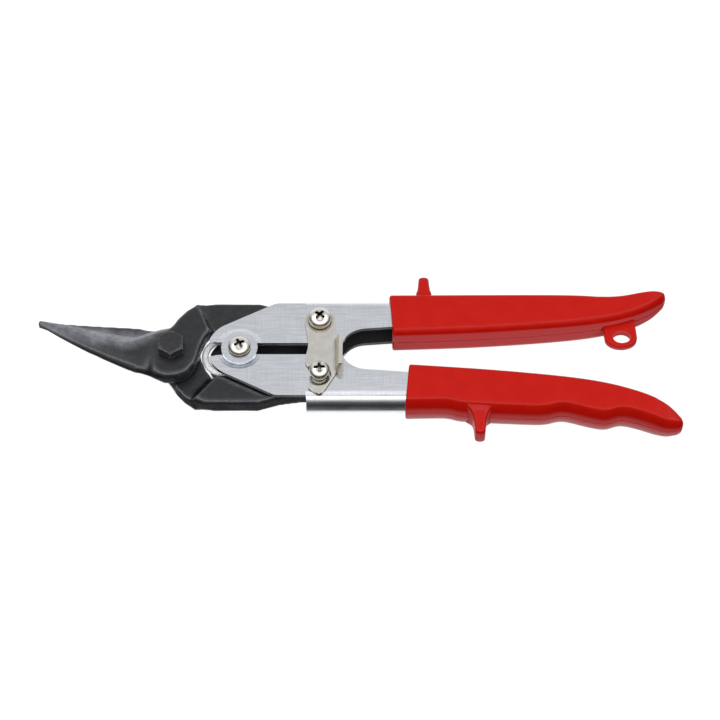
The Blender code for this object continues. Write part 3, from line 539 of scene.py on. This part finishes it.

# %% [markdown]
# ### Red sleeve
#
# The grips are soft plastic, moulded in one deep red. A low specular level keeps the top
# saturated, and a very fine grain stops the highlights from looking like glass. The upright-wall
# group paints the sides a paler pink, a painted reflection of the bright floor. The crevice-shade
# group paints a darker red into the parting groove and at the roots of the finger stops, as
# painted shade.

# %% Red sleeve
tree, shader = new_finish("red_sleeve")
mottle = use_group(tree, grain, Scale=160.0, Detail=3.0)
skin = use_group(tree, grain, Scale=900.0, Detail=2.0)
colour = mix_colours(tree, mottle, (0.435, 0.004, 0.0006), (0.458, 0.005, 0.0008))
# Painted reflection: upright sides coloured a paler pink.
painted_wall_light_and_shade = use_group(tree, upright, Start=0.22, End=-0.1)
colour = mix_colours(tree, painted_wall_light_and_shade, colour, (0.80, 0.115, 0.12))
# Painted shade: the parting groove and the roots of the finger stops are darker.
painted_seam_shade = use_group(tree, crevice_shade, Reach=0.0008, Gain=1.6)
colour = mix_colours(tree, painted_seam_shade, colour, (0.22, 0.004, 0.004))
fill(tree, shader, {
    "Base Color": colour,
    "Roughness": between(tree, mottle, 0.28, 0.34),
    "Specular IOR Level": 0.18,
    "Normal": bump(tree, skin, 0.03, 0.0001),
})

# %% [markdown]
# ## Pieces
#
# A CAD node may not be reshaped, but a new piece may stand for it. `stand_in` lets an object be
# such a piece: it rides on the same body, takes the same finish, and hides the node. The other
# helpers skin a row of rings, and join or cut two meshes.

# %% Piece helpers
SMOOTH_ANGLE = math.radians(32)


def new_object(name, bm):
    """A linked object from a bmesh, its faces turned outwards."""
    bmesh.ops.recalc_face_normals(bm, faces=bm.faces)
    mesh = bpy.data.meshes.new(name)
    bm.to_mesh(mesh)
    bm.free()
    made = bpy.data.objects.new(name, mesh)
    bpy.context.collection.objects.link(made)
    return made


def dress(piece, node):
    """Give a piece the finish of a CAD node, and round shading broken at real corners."""
    piece.data.materials.clear()
    piece.data.materials.append(FINISH[SLOT_OF[node]])
    piece.data.shade_smooth()
    piece.data.set_sharp_from_angle(angle=SMOOTH_ANGLE)
    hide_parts(node)


def stand_in(piece, node):
    """Let a piece stand for a CAD node and ride on the node's body."""
    dress(piece, node)
    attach(piece, BODY_OF[node])
    print(f"{piece.name}: {len(piece.data.polygons)} faces, rides on {BODY_OF[node]}")
    return piece


def loft(name, rings):
    """Skin rings of equal point count, with a cap on each end."""
    bm = bmesh.new()
    loops = [[bm.verts.new(point) for point in ring] for ring in rings]
    for first, second in zip(loops, loops[1:]):
        for i in range(len(first)):
            j = (i + 1) % len(first)
            bm.faces.new((first[i], first[j], second[j], second[i]))
    bm.faces.new(loops[0])
    bm.faces.new(loops[-1])
    return new_object(name, bm)


def apply_modifiers(piece):
    """Keep what the modifiers make, and take the modifiers away."""
    bpy.context.view_layer.update()
    graph = bpy.context.evaluated_depsgraph_get()
    worked = bpy.data.meshes.new_from_object(piece.evaluated_get(graph))
    piece.modifiers.clear()
    piece.data = worked


def boolean(piece, tool, operation):
    """Join or cut a piece with a tool, and take the tool away."""
    step = piece.modifiers.new(operation.lower(), "BOOLEAN")
    step.operation = operation
    step.solver = "EXACT"
    step.object = tool
    apply_modifiers(piece)
    bpy.data.objects.remove(tool, do_unlink=True)


# %% [markdown]
# ### Pressed and turned metal
#
# Real metal has no perfectly sharp edge. Sheet is tumbled after pressing, and nuts and washers
# are chamfered, so every corner carries a thin line of light. The quickest way is to copy the CAD
# mesh, weld its triangles back into whole faces, and bevel each edge that turns sharply. A Bevel
# modifier would do the same, but the welded faces are needed for it anyway. The free rim of a
# pressed eye gets a wider roll, because the press draws it down.

# %% Whole faces from a CAD node
FLAT_ANGLE = math.radians(0.4)
WELD = 1e-6


def welded(node):
    """A bmesh of a CAD node, its loose triangles joined into whole faces."""
    bm = bmesh.new()
    bm.from_mesh(frame["nodes"][node].data)
    bmesh.ops.remove_doubles(bm, verts=bm.verts, dist=WELD)
    bmesh.ops.dissolve_limit(
        bm, angle_limit=FLAT_ANGLE, use_dissolve_boundaries=False, verts=bm.verts, edges=bm.edges
    )
    return bm


sample = welded("latch")
print("latch:", len(sample.faces), "whole faces")
sample.free()

# %% Rims of the pressed eyes
EYE_RADIUS = 0.0073
EYE_RIM_LEVEL = 0.0068
EYE_TOLERANCE = 0.0001
EYE_FREE_BELOW = 0.0024


def on_eye_rim(edge):
    """Whether an edge lies on the upper rim of a pressed eye round the handle pivot."""
    reach = [(v.co - PIVOT).xy.length for v in edge.verts]
    high = all(v.co.z - PIVOT.z > EYE_RIM_LEVEL for v in edge.verts)
    return high and all(abs(r - EYE_RADIUS) < EYE_TOLERANCE for r in reach)


def on_free_rim(edge):
    """Whether an edge of the rim is on the half of the eye that stands clear of its handle."""
    return on_eye_rim(edge) and all(v.co.y - PIVOT.y < EYE_FREE_BELOW for v in edge.verts)


# %% [markdown]
# Smooth shading averages the normals round each corner, so a narrow bevel would tip the light
# over the whole flat beside it. Weighted normals are the usual cure. Here the rule is stricter:
# each broad face keeps its own normal, joined only with faces that lie nearly level with it, and
# the narrow strips of the bevel turn from one to the next.

# %% Shading of broad faces
KIN_ANGLE = math.radians(18)
STRIP_WIDTH = 0.00025


def true_flats(piece):
    """Shade broad faces by their own normals, and let narrow strips turn from one to the next."""
    mesh = piece.data
    broad, around = set(), {}
    for face in mesh.polygons:
        points = [mesh.vertices[i].co for i in face.vertices]
        longest = max((a - b).length for a, b in zip(points, points[1:] + points[:1]))
        if face.area > STRIP_WIDTH * longest:
            broad.add(face.index)
            for index in face.vertices:
                around.setdefault(index, []).append(face)
    normals = [corner.vector.copy() for corner in mesh.corner_normals]
    for face in mesh.polygons:
        limit = math.cos(KIN_ANGLE if face.index in broad else SMOOTH_ANGLE)
        for loop, index in zip(face.loop_indices, face.vertices):
            kin = [f for f in around.get(index, ()) if f.normal.dot(face.normal) > limit]
            if kin:
                normals[loop] = sum((f.normal * f.area for f in kin), Vector()).normalized()
    mesh.normals_split_custom_set(normals)
    print(f"{piece.name}: {len(broad)} broad faces keep their own normals")


# %% Metal with soft edges
SHARP_ANGLE = math.radians(33)
HAIRLINE = 0.00006
EDGE_STEPS = 3
EYE_ROLL = 0.0009
ROLL_STEPS = 4


def round_off(bm, edges, width, steps):
    """Bevel some edges of a bmesh to a round of the given width."""
    bmesh.ops.bevel(
        bm,
        geom=edges,
        offset=width,
        segments=steps,
        profile=0.5,
        affect="EDGES",
        clamp_overlap=True,
    )


def soft_edged(node, name, width):
    """A stand-in for a CAD node, its sharp edges rounded to a width and an eye's rim rolled."""
    bm = welded(node)
    sharp = [e for e in bm.edges if e.is_manifold and e.calc_face_angle() > SHARP_ANGLE]
    wide = [
        e for e in sharp if min(f.calc_area() for f in e.link_faces) > HAIRLINE * e.calc_length()
    ]
    round_off(bm, [e for e in wide if not on_eye_rim(e)], width, EDGE_STEPS)
    rim = [e for e in bm.edges if on_free_rim(e)]
    if rim:
        round_off(bm, rim, EYE_ROLL, ROLL_STEPS)
    true_flats(stand_in(new_object(name, bm), node))


EDGE_WIDTHS = {
    "upper_handle": ("upper_pressing", 0.0003),
    "lower_handle": ("lower_pressing", 0.0003),
    "latch": ("hook_latch", 0.0003),
    "latch_washer": ("latch_flat_washer", 0.00015),
    "catch_collar": ("catch_spacer", 0.0002),
    "pivot_nut": ("pivot_hex_nut", 0.00015),
    "upper_tang_nut": ("upper_hex_nut", 0.00015),
    "lower_tang_nut": ("lower_hex_nut", 0.00015),
    "pivot_bush": ("pivot_spacer", 0.0002),
    "upper_tang_bush": ("upper_spacer", 0.0002),
    "lower_tang_bush": ("lower_spacer", 0.0002),
    "blade_nut": ("hex_bolt_nut", 0.0002),
}
for node, (name, width) in EDGE_WIDTHS.items():
    soft_edged(node, name, width)

# %% [markdown]
# ### Forged blades
#
# A forging fills a die, so all its corners are round and its faces are never quite flat. Voxel
# remeshing spreads an even grid over the CAD blade, smoothing then rounds every corner, and a low
# noise along the normals gives the faces their slight waviness. The same could be sculpted, but
# this repeats exactly.
#
# The CAD blade steps down behind its head at one steep angle. The real one runs out in a long
# slope, so a wedge is laid into that corner first, and the remesh makes one skin of the two.

# %% Wedge behind the head
FOLD_LINE = [(-0.0161, 0.0222), (-0.0119, 0.0122)]
FOLD_FOOT = (0.0028, 0.0003)
FOLD_BACK = -0.0021
FOLD_LEVELS = (0.0069, 0.0034, 0.0026)


def fold_fill(side):
    """A wedge that turns the steep step behind a blade's head into a long slope."""
    start, end = (Vector(point) for point in FOLD_LINE)
    along = (end - start).normalized()
    away = Vector((-along.y, along.x))
    crest, foot, base = FOLD_LEVELS
    rings = []
    for spot, reach in zip((start, end), FOLD_FOOT):
        ring = ((FOLD_BACK, crest), (reach, foot), (reach, base), (FOLD_BACK, base))
        ring = [(spot + away * d, z) for d, z in ring]
        rings.append([PIVOT + Vector((p.x, side * p.y, side * z)) for p, z in ring])
    return loft("fold_fill", rings)


print("wedge from", FOLD_LINE[0], "to", FOLD_LINE[1], "m from the pivot")

# %% [markdown]
# Some places of the die are rounder than others: the long blend where the jaw leaves the head,
# the edge of the head, its peak, and the hollows at the foot of each fold. Each is a line in plan
# with a reach. A vertex near the line gets a large share in a Smooth modifier, and one beyond its
# reach gets none.

# %% Places that are rounder
HEAD_FRONT = [
    (-0.0291, 0.0092), (-0.0329, 0.0050), (-0.0346, 0.0005), (-0.0353, -0.0055),
    (-0.0356, -0.0106),
]
HEAD_EDGE = [
    (-0.0355, -0.0116), (-0.0313, -0.0126), (-0.0270, -0.0132), (-0.0237, -0.0122),
    (-0.0202, -0.0091), (-0.0177, -0.0041), (-0.0153, 0.0020), (-0.0127, 0.0101),
]
HEAD_PEAK = [(-0.0180, 0.0200), (-0.0160, 0.0222)]
TOP_TOE = [(-0.0131, 0.0199), (-0.0116, 0.0123)]
UNDER_TOE = [(-0.0097, 0.0093), (-0.0170, 0.0173)]
BLEND_REACH = 0.006
EDGE_REACH = 0.0020
EDGE_LEVELS = (0.0022, 0.0042)
PEAK_REACH = 0.004
TOE_REACH = 0.0026
TOE_LEVEL = 0.0015


def gap_to(line, spot):
    """Distance in plan from a spot to a line of points."""
    best = math.inf
    for start, end in zip(line, line[1:]):
        start, end = Vector(start), Vector(end)
        run = end - start
        share = max(0.0, min(1.0, (spot - start).dot(run) / run.length_squared))
        best = min(best, (spot - start - run * share).length)
    return best


def nearness(line, reach, spot):
    """1 on a line in plan, 0 at its reach, and less than 0 beyond."""
    return 1.0 - (gap_to(line, spot.xy) / reach) ** 2


def root_share(spot):
    """How far a spot takes part in the long blend where the jaw leaves the head."""
    return nearness(HEAD_FRONT, BLEND_REACH, spot)


def peak_share(spot):
    """How far a spot takes part in the rounded peak of the head."""
    return nearness(HEAD_PEAK, PEAK_REACH, spot)


def toe_share(spot):
    """How far a spot takes part in the hollow at the foot of a fold, on either face."""
    return nearness(TOP_TOE if spot.z > TOE_LEVEL else UNDER_TOE, TOE_REACH, spot)


def edge_share(spot):
    """How far a spot takes part in the rolled edge of the head, well above the mating face."""
    low, high = EDGE_LEVELS
    lift = max(0.0, min(1.0, (spot.z - low) / (high - low)))
    return lift * nearness(HEAD_EDGE, EDGE_REACH, spot)


print("head:", len(HEAD_FRONT), "points along its front,", len(HEAD_EDGE), "round its edge")

# %% Forged blades
FORGE_VOXEL = 0.0004
FORGE_ROUNDING = 8
FORGE_WAVES = 190.0
FORGE_RELIEF = 0.00008
SMOOTHING = 0.5
ROUNDER = [(root_share, 170), (edge_share, 26), (peak_share, 22), (toe_share, 90)]


def smooth_by(blade, side, share_of, rounds):
    """Smooth a blade most where the share is 1, and not at all where it is 0."""
    part = blade.vertex_groups.new(name="part")
    for vertex in blade.data.vertices:
        spot = vertex.co - PIVOT
        share = share_of(Vector((spot.x, spot.y * side, spot.z * side)))
        if share > 0:
            part.add([vertex.index], share, "REPLACE")
    step = blade.modifiers.new("smoothing", "SMOOTH")
    step.factor = SMOOTHING
    step.iterations = rounds
    step.vertex_group = part.name
    apply_modifiers(blade)
    blade.vertex_groups.clear()


def forging(node, name, side):
    """A blade as it leaves the die; side is 1 for the upper blade and -1 for the lower."""
    wedge = fold_fill(side)
    bm = welded(node)
    bm.from_mesh(wedge.data)
    bpy.data.objects.remove(wedge, do_unlink=True)
    blade = new_object(name, bm)
    remesh = blade.modifiers.new("remesh", "REMESH")
    remesh.mode = "VOXEL"
    remesh.voxel_size = FORGE_VOXEL
    rounding = blade.modifiers.new("rounding", "SMOOTH")
    rounding.factor = SMOOTHING
    rounding.iterations = FORGE_ROUNDING
    apply_modifiers(blade)
    for share_of, rounds in ROUNDER:
        smooth_by(blade, side, share_of, rounds)
    normals = [v.normal.copy() for v in blade.data.vertices]
    for vertex, normal in zip(blade.data.vertices, normals):
        vertex.co += normal * FORGE_RELIEF * noise.noise(vertex.co * FORGE_WAVES)
    return stand_in(blade, node)


forging("upper_blade", "upper_forged_blade", 1)
forging("lower_blade", "lower_forged_blade", -1)

# %% [markdown]
# ### Pan-head screws
#
# Three pan-head screws hold the linkage. Each is turned from a half profile, and then two tapered
# blades cut the cross recess into its crown. Booleans suit such a sharp small cut better than
# moving vertices, and each screw stops at a different angle, as screws do.

# %% Pan-head screws
HEAD_HEIGHT = 0.0031
HEAD_RIM = 0.0005
CROWN_ANGLES = [math.radians(a) for a in (0, 12, 24, 36, 48, 60, 72, 82)]
TURN_STEPS = 48
CROSS_REACH = (0.0027, 0.0013)
CROSS_HALF = (0.0007, 0.0004)
CROSS_DEPTH = 0.0021
SCREWS = [
    ("pivot_screw", "pivot_pan_screw", 0.0025, 26),
    ("upper_tang_screw", "latch_pan_screw", 0.0025, 52),
    ("lower_tang_screw", "catch_pan_screw", 0.002, 4),
]


def turned(name, centre, profile):
    """Spin a (radius, height) profile, open at the axis, round an upright axis."""
    bm = bmesh.new()
    columns = []
    for k in range(TURN_STEPS):
        angle = 2 * math.pi * k / TURN_STEPS
        x, y = math.cos(angle), math.sin(angle)
        columns.append([
            bm.verts.new((centre.x + r * x, centre.y + r * y, z)) for r, z in profile
        ])
    for k in range(TURN_STEPS):
        here, after = columns[k], columns[(k + 1) % TURN_STEPS]
        for i in range(len(profile) - 1):
            bm.faces.new((here[i], after[i], after[i + 1], here[i + 1]))
    bm.faces.new([column[0] for column in columns])
    bm.faces.new([column[-1] for column in columns])
    return new_object(name, bm)


def recess_blade(centre, top, angle):
    """One tapered blade of the cross, a little proud of the crown."""
    rings = []
    for reach, half, z in zip(CROSS_REACH, CROSS_HALF, (top + HEAD_RIM, top - CROSS_DEPTH)):
        corners = ((reach, half), (-reach, half), (-reach, -half), (reach, -half))
        turn = Matrix.Rotation(angle, 2)
        ring = [turn @ Vector(corner) for corner in corners]
        rings.append([(centre.x + p.x, centre.y + p.y, z) for p in ring])
    return loft("recess_tool", rings)


def pan_screw(node, name, shank, cross_angle):
    """A pan-head screw in the CAD screw's box, with a shank radius and the angle of its cross."""
    low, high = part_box(node)
    centre = (Vector(low) + Vector(high)) / 2
    radius = (high[0] - low[0]) / 2
    top, seat = high[2], high[2] - HEAD_HEIGHT
    crown = HEAD_HEIGHT - HEAD_RIM
    chamfer = shank / 4
    profile = [(shank - chamfer, low[2]), (shank, low[2] + chamfer), (shank, seat)]
    profile += [(radius - chamfer / 2, seat), (radius, seat + chamfer / 2)]
    profile += [
        (radius * math.cos(t), seat + HEAD_RIM + crown * math.sin(t)) for t in CROWN_ANGLES
    ]
    screw = turned(name, centre, profile)
    for quarter in (0.0, math.pi / 2):
        boolean(screw, recess_blade(centre, top, cross_angle + quarter), "DIFFERENCE")
    return stand_in(screw, node)


for node, name, shank, degrees in SCREWS:
    pan_screw(node, name, shank, math.radians(degrees))

# %% [markdown]
# ### Hex bolt
#
# The jaws turn on a hex bolt. Hex heads are turned before they are used, which cuts a shallow
# cone over the six corners and leaves a round land on top. A copy of the CAD bolt kept only where
# it meets such a turned blank gets exactly that shape.

# %% Hex bolt
BOLT_FLATS = 0.0098
BLANK_RADIUS = BOLT_FLATS * 0.62
BLANK_SPARE = 0.002
LAND_RADIUS = BOLT_FLATS / 2 * 0.93
CONE_DROP = 0.0009

low, high = (Vector(corner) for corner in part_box("blade_bolt"))
blank = [(BLANK_RADIUS, low.z - BLANK_SPARE), (BLANK_RADIUS, high.z - CONE_DROP)]
blank += [(LAND_RADIUS, high.z)]
hex_bolt = new_object("hex_bolt", welded("blade_bolt"))
boolean(hex_bolt, turned("blank", (low + high) / 2, blank), "INTERSECT")
stand_in(hex_bolt, "blade_bolt")

# %% [markdown]
# ### Return spring
#
# One bow of wire pushes the handles apart.

# %% Return spring
WIRE_RADIUS = 0.00135
WIRE_SIDES = 20
BOW_RADIUS = 0.0078
BOW_X = -0.0062
LEG_END = 0.0236
LEG_Y = 0.00875
LEG_STRAIGHT = 0.006
LEG_BEND = 0.33
LEG_STEPS = 10
BOW_STEPS = 40


def smooth_through(points, steps):
    """A smooth curve through given points, by Bezier pieces."""
    spots = [Vector(p) for p in points]
    ahead = [spots[0]] + spots[:-1]
    after = spots[1:] + [spots[-1]]
    slopes = [(b - a) / 6 for a, b in zip(ahead, after)]
    curve = []
    for i in range(len(spots) - 1):
        run = interpolate_bezier(
            spots[i], spots[i] + slopes[i], spots[i + 1] - slopes[i + 1], spots[i + 1], steps + 1
        )
        curve += run[:-1]
    return curve + [spots[-1]]


leg = [(LEG_END, LEG_Y), (LEG_END - LEG_STRAIGHT, LEG_Y), (LEG_BEND * LEG_END, BOW_RADIUS)]
upper_leg = smooth_through(leg + [(BOW_X, BOW_RADIUS)], LEG_STEPS)
bow_angles = [math.pi / 2 + math.pi * k / BOW_STEPS for k in range(BOW_STEPS + 1)]
bow = [Vector((BOW_X + BOW_RADIUS * math.cos(t), BOW_RADIUS * math.sin(t))) for t in bow_angles]
lower_leg = [Vector((p.x, -p.y)) for p in reversed(upper_leg)]
wire_line = upper_leg[:-1] + bow + lower_leg[1:]
rings = []
for i, spot in enumerate(wire_line):
    along = wire_line[min(i + 1, len(wire_line) - 1)] - wire_line[max(i - 1, 0)]
    side = Vector((along.y, -along.x)).normalized()
    ring = []
    for k in range(WIRE_SIDES):
        turn = 2 * math.pi * k / WIRE_SIDES
        flat = spot + side * WIRE_RADIUS * math.cos(turn)
        ring.append(PIVOT + Vector((flat.x, flat.y, WIRE_RADIUS * math.sin(turn))))
    rings.append(ring)
spring = loft("bow_spring", rings)
dress(spring, "return_spring")
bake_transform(spring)
print("spring wire,", len(spring.data.polygons), "faces")

# %% [markdown]
# ### Moulded grips
#
# Each grip is a sleeve with a flat top, round sides, a drooping tail and, on the lower one, waves
# for the fingers. Sections along its length carry that best, each a box between an inner and an
# outer line. A box with even corners would look like a pipe. Here a side rises in a broad curve
# that ends in a tighter edge at the top, tightest along the back. Every section also has a small
# groove at mid-height on both sides, which is the parting line of the mould.

# %% Grip outlines
HANDLE_END_X = 0.143
GRIP_LINE_Y = 0.0239
UPPER_INNER = [
    (-0.0816, -0.0170), (-0.048, -0.0156), (-0.015, -0.0130), (0.003, -0.0105),
    (0.015, -0.0072), (0.0228, -0.0034), (0.0278, 0.0006), (0.0294, 0.0032),
]
UPPER_OUTER = [
    (-0.083, 0.0039), (-0.015, 0.0041), (0.003, 0.0035), (0.011, 0.0039),
    (0.0185, 0.0055), (0.0235, 0.0064), (0.0268, 0.0063), (0.0286, 0.0056),
    (0.0294, 0.0040),
]
UPPER_HALF = [
    (-0.083, 0.008), (-0.02, 0.008), (0.01, 0.0074), (0.022, 0.0066),
    (0.0278, 0.0050), (0.0289, 0.0036), (0.0294, 0.0014),
]
LOWER_INNER = [
    (-0.0752, -0.0168), (-0.043, -0.0143), (-0.015, -0.0113), (0.002, -0.0084),
    (0.0155, -0.0043), (0.0245, 0.0000), (0.0296, 0.0040), (0.0329, 0.0079),
]
LOWER_OUTER = [
    (-0.0769, 0.0036), (-0.061, 0.0034), (-0.0535, 0.0049), (-0.0286, 0.0063),
    (-0.0212, 0.0062), (-0.0142, 0.0049), (-0.0038, 0.0076), (0.0024, 0.0086),
    (0.0086, 0.0069), (0.0149, 0.0082), (0.0247, 0.0117), (0.0298, 0.0116),
    (0.032, 0.0106), (0.0329, 0.0086),
]
LOWER_HALF = [
    (-0.0769, 0.008), (0.01, 0.008), (0.024, 0.0073), (0.0305, 0.0056),
    (0.0322, 0.0040), (0.0329, 0.0014),
]
print("grip outlines:", len(UPPER_INNER + UPPER_OUTER + LOWER_INNER + LOWER_OUTER), "points")

# %% Grip sections
GRIP_STATIONS = 84
CURVE_STEPS = 16
INNER_CORNER = (math.radians(40), 0.0015, 0.0042)
BACK_CORNER = (math.radians(60), 0.0018, 0.0130)
BACK_TRIM = (0.0009, 0.06)
GRIP_FULLNESS = 0.96
CORNER_STEPS = 8
PARTING_HALF = 0.00025
PARTING_DEPTH = 0.0003
MOUTH_ROUNDING = [(0.0, 0.0006), (0.0002, 0.00025), (0.0006, 0.0)]


def height_on(points, x):
    """The smooth curve's second value where its first value is x."""
    line = smooth_through(points, CURVE_STEPS)
    for a, b in zip(line, line[1:]):
        if a.x <= x <= b.x and a.x != b.x:
            return a.y + (b.y - a.y) * (x - a.x) / (b.x - a.x)
    return line[0].y if x < line[0].x else line[-1].y


def on_handle(x, height, side):
    """World place in plan of a point given from the handle's end and the grips' line."""
    return Vector((PIVOT.x + HANDLE_END_X + x, PIVOT.y + side * (GRIP_LINE_Y + height)))


def corner(wide, tall, turn, tight, broad):
    """One corner of a section from its side to its top: a broad curve, then a tight edge."""
    lean, rise = math.sin(turn), math.cos(turn)
    shares = [k / CORNER_STEPS for k in range(CORNER_STEPS + 1)]
    broad_turns = [math.pi / 2 + (turn - math.pi / 2) * k for k in shares[:-1]]
    tight_turns = [turn * (1 - k) for k in shares]
    across = tight * lean + broad * (1 - lean)
    up = tight * (1 - rise) + broad * rise
    fit = min(1.0, GRIP_FULLNESS * wide / across, GRIP_FULLNESS * tall / up)
    tight, broad, across, up = (fit * size for size in (tight, broad, across, up))
    points = [
        (wide - broad + broad * math.sin(t), tall - up + broad * math.cos(t)) for t in broad_turns
    ]
    return points + [
        (wide - across + tight * math.sin(t), tall - tight + tight * math.cos(t))
        for t in tight_turns
    ]


def box_section(inner, outer, tall, inset):
    """Section between two points in plan: a flat top, a rounder back, and a groove half way up.

    The groove is where the two halves of the mould meet.
    """
    middle = (inner + outer) / 2
    along = (outer - inner).normalized()
    wide = (outer - inner).length / 2 - inset
    tall = tall - inset
    depth = min(PARTING_DEPTH, wide / 3)
    flat = []
    for out, shape in ((1, BACK_CORNER), (-1, INNER_CORNER)):
        above = [(out * u, z) for u, z in corner(wide, tall, *shape)]
        half = min(PARTING_HALF, above[0][1] / 2)
        below = [(u, -z) for u, z in reversed(above)]
        groove = [(out * wide, -half), (out * (wide - depth), 0.0), (out * wide, half)]
        half_ring = below + groove + above
        flat += half_ring if out > 0 else half_ring[::-1]
    return [((middle + along * u).x, (middle + along * u).y, PIVOT.z + z) for u, z in flat]


def sleeve_rings(inner, outer, half, side):
    """Sections of a grip from its open mouth to its tail, closer together at the tail."""
    counts = range(1, GRIP_STATIONS + 1)
    stations = [(math.sin(math.pi / 2 * k / GRIP_STATIONS), 0.0) for k in counts]
    length = outer[-1][0] - outer[0][0]
    mouth = [(x / length, inset) for x, inset in MOUTH_ROUNDING]
    rings = []
    for share, inset in mouth + stations:
        x_in = inner[0][0] + (inner[-1][0] - inner[0][0]) * share
        x_out = outer[0][0] + length * share
        low, high = height_on(inner, x_in), height_on(outer, x_out)
        trim = min(BACK_TRIM[0], BACK_TRIM[1] * (high - low))
        rings.append(box_section(
            on_handle(x_in, low, side),
            on_handle(x_out, high - trim, side),
            height_on(half, x_out),
            inset,
        ))
    return rings


print("sections per grip:", GRIP_STATIONS + len(MOUTH_ROUNDING))

# %% [markdown]
# The finger stop is a short stack of rounded boxes that narrows as it leaves the sleeve. It
# flares at its root, because plastic isn't moulded with a sharp one. The hang tab is a flat plate
# with an oval hole, and the sleeve is hollow where the handle's channel goes in. Booleans put the
# four together.

# %% Finger stops
STOP_PROFILE = [
    (-0.0125, 0.0062, 0.0074), (-0.0108, 0.0053, 0.0068), (-0.0095, 0.0041, 0.0060),
    (-0.0084, 0.0032, 0.0054), (-0.0070, 0.0026, 0.0050), (-0.0045, 0.0023, 0.0047),
    (-0.0018, 0.0021, 0.0045), (-0.0008, 0.0019, 0.0042), (-0.0002, 0.0014, 0.0036),
    (0.0, 0.0007, 0.0028),
]
UPPER_STOP_ROOT = (0.0031, 0.0052)
STOP_CORNER = 0.0012
UPPER_STOP = (-0.0689, 0.0127)
LOWER_STOP = (-0.0474, 0.0139)
STOP_FULLNESS = 0.95
STOP_STEPS = 4


def finger_stop(spot, side):
    """A finger stop that flares into its sleeve; the upper one has the slimmer root."""
    rings = []
    for out, half_x, half_z in STOP_PROFILE:
        if side > 0:
            half_x, half_z = min(half_x, UPPER_STOP_ROOT[0]), min(half_z, UPPER_STOP_ROOT[1])
        radius = min(STOP_CORNER, half_x, half_z) * STOP_FULLNESS
        centre = on_handle(spot[0], spot[1] + out, side)
        ring = []
        for quarter, (u, z) in enumerate(((1, 1), (-1, 1), (-1, -1), (1, -1))):
            for k in range(STOP_STEPS + 1):
                turn = math.pi / 2 * (quarter + k / STOP_STEPS)
                ring.append((
                    centre.x + u * (half_x - radius) + radius * math.cos(turn),
                    centre.y,
                    PIVOT.z + z * (half_z - radius) + radius * math.sin(turn),
                ))
        rings.append(ring)
    return loft("finger_stop", rings)


print("finger stop:", len(STOP_PROFILE), "rings")

# %% Hang tab
HANG_TAB_X = 0.0104
HANG_TAB_HALF = 0.0065
HANG_TAB_END = -0.0198
HANG_TAB_HALF_THICK = 0.0017
HANG_TAB_RIM = HANG_TAB_HALF_THICK / 2.5
HANG_TAB_LEAN = 0.0008
HANG_TAB_ROOT = 0.0022
HANG_TAB_STEPS = 24
HANG_HOLE = (0.0107, -0.0152)
HANG_HOLE_HALF = (0.00365, 0.003)
HANG_HOLE_STEPS = 40
RIM_ANGLE = math.radians(60)


def plate(name, outline, half, rim=0.0):
    """An outline in plan, thick about mid-height, with its rims rounded if asked."""
    piece = loft(name, [[(p.x, p.y, PIVOT.z + z) for p in outline] for z in (-half, half)])
    if rim:
        step = piece.modifiers.new("rim", "BEVEL")
        step.width = rim
        step.segments = 3
        step.limit_method = "ANGLE"
        step.angle_limit = RIM_ANGLE
        apply_modifiers(piece)
    return piece


def hang_tab():
    """The flat tab under the upper grip's tail, with its oval hole."""
    hole = on_handle(*HANG_HOLE, 1)
    middle = on_handle(HANG_TAB_X, 0.0, 1).x
    depth = HANG_HOLE[1] - HANG_TAB_END
    turns = [-math.pi * k / HANG_TAB_STEPS for k in range(HANG_TAB_STEPS + 1)]
    outline = [
        Vector((middle + HANG_TAB_HALF * math.cos(t), hole.y + depth * math.sin(t))) for t in turns
    ]
    root = HANG_TAB_X - HANG_TAB_LEAN
    for x in (root - HANG_TAB_HALF, root + HANG_TAB_HALF):
        outline.append(on_handle(x, height_on(UPPER_INNER, x) + HANG_TAB_ROOT, 1))
    tab = plate("hang_tab", outline, HANG_TAB_HALF_THICK, HANG_TAB_RIM)
    wide, deep = HANG_HOLE_HALF
    rounds = [2 * math.pi * k / HANG_HOLE_STEPS for k in range(HANG_HOLE_STEPS)]
    oval = [hole + Vector((wide * math.cos(t), deep * math.sin(t))) for t in rounds]
    boolean(tab, plate("hole_tool", oval, HANG_TAB_HALF_THICK * 2), "DIFFERENCE")
    return tab


print("hang hole, mm:", [round(2000 * half, 1) for half in HANG_HOLE_HALF])

# %% Channel and grips
CHANNEL_INNER = [(-0.093, -0.01455), (0.0003, -0.0070)]
CHANNEL_BACK = 0.0009
CHANNEL_HALF = 0.00655
CHANNEL_BEND = 0.0053


def channel_room(side):
    """The room inside a sleeve for the handle's round-backed channel."""
    level = CHANNEL_HALF - CHANNEL_BEND
    turns = [math.pi / 2 * k / CORNER_STEPS for k in range(CORNER_STEPS + 1)]
    bend = [
        (CHANNEL_BACK - CHANNEL_BEND * (1 - math.sin(t)), level + CHANNEL_BEND * math.cos(t))
        for t in turns
    ]
    rings = []
    for x, inner in CHANNEL_INNER:
        section = [(inner, CHANNEL_HALF)] + bend + [(h, -z) for h, z in reversed(bend)]
        section += [(inner, -CHANNEL_HALF)]
        ring = [(on_handle(x, h, side), z) for h, z in section]
        rings.append([(spot.x, spot.y, PIVOT.z + z) for spot, z in ring])
    return loft("channel_tool", rings)


def grip(node, name, inner, outer, half, side, stop):
    """A sleeve with its finger stop, hollow for the handle; the upper one has the hang tab."""
    sleeve = loft(name, sleeve_rings(inner, outer, half, side))
    boolean(sleeve, finger_stop(stop, side), "UNION")
    if side > 0:
        boolean(sleeve, hang_tab(), "UNION")
    boolean(sleeve, channel_room(side), "DIFFERENCE")
    return stand_in(sleeve, node)


grip("upper_grip", "upper_sleeve", UPPER_INNER, UPPER_OUTER, UPPER_HALF, 1, UPPER_STOP)
grip("lower_grip", "lower_sleeve", LOWER_INNER, LOWER_OUTER, LOWER_HALF, -1, LOWER_STOP)
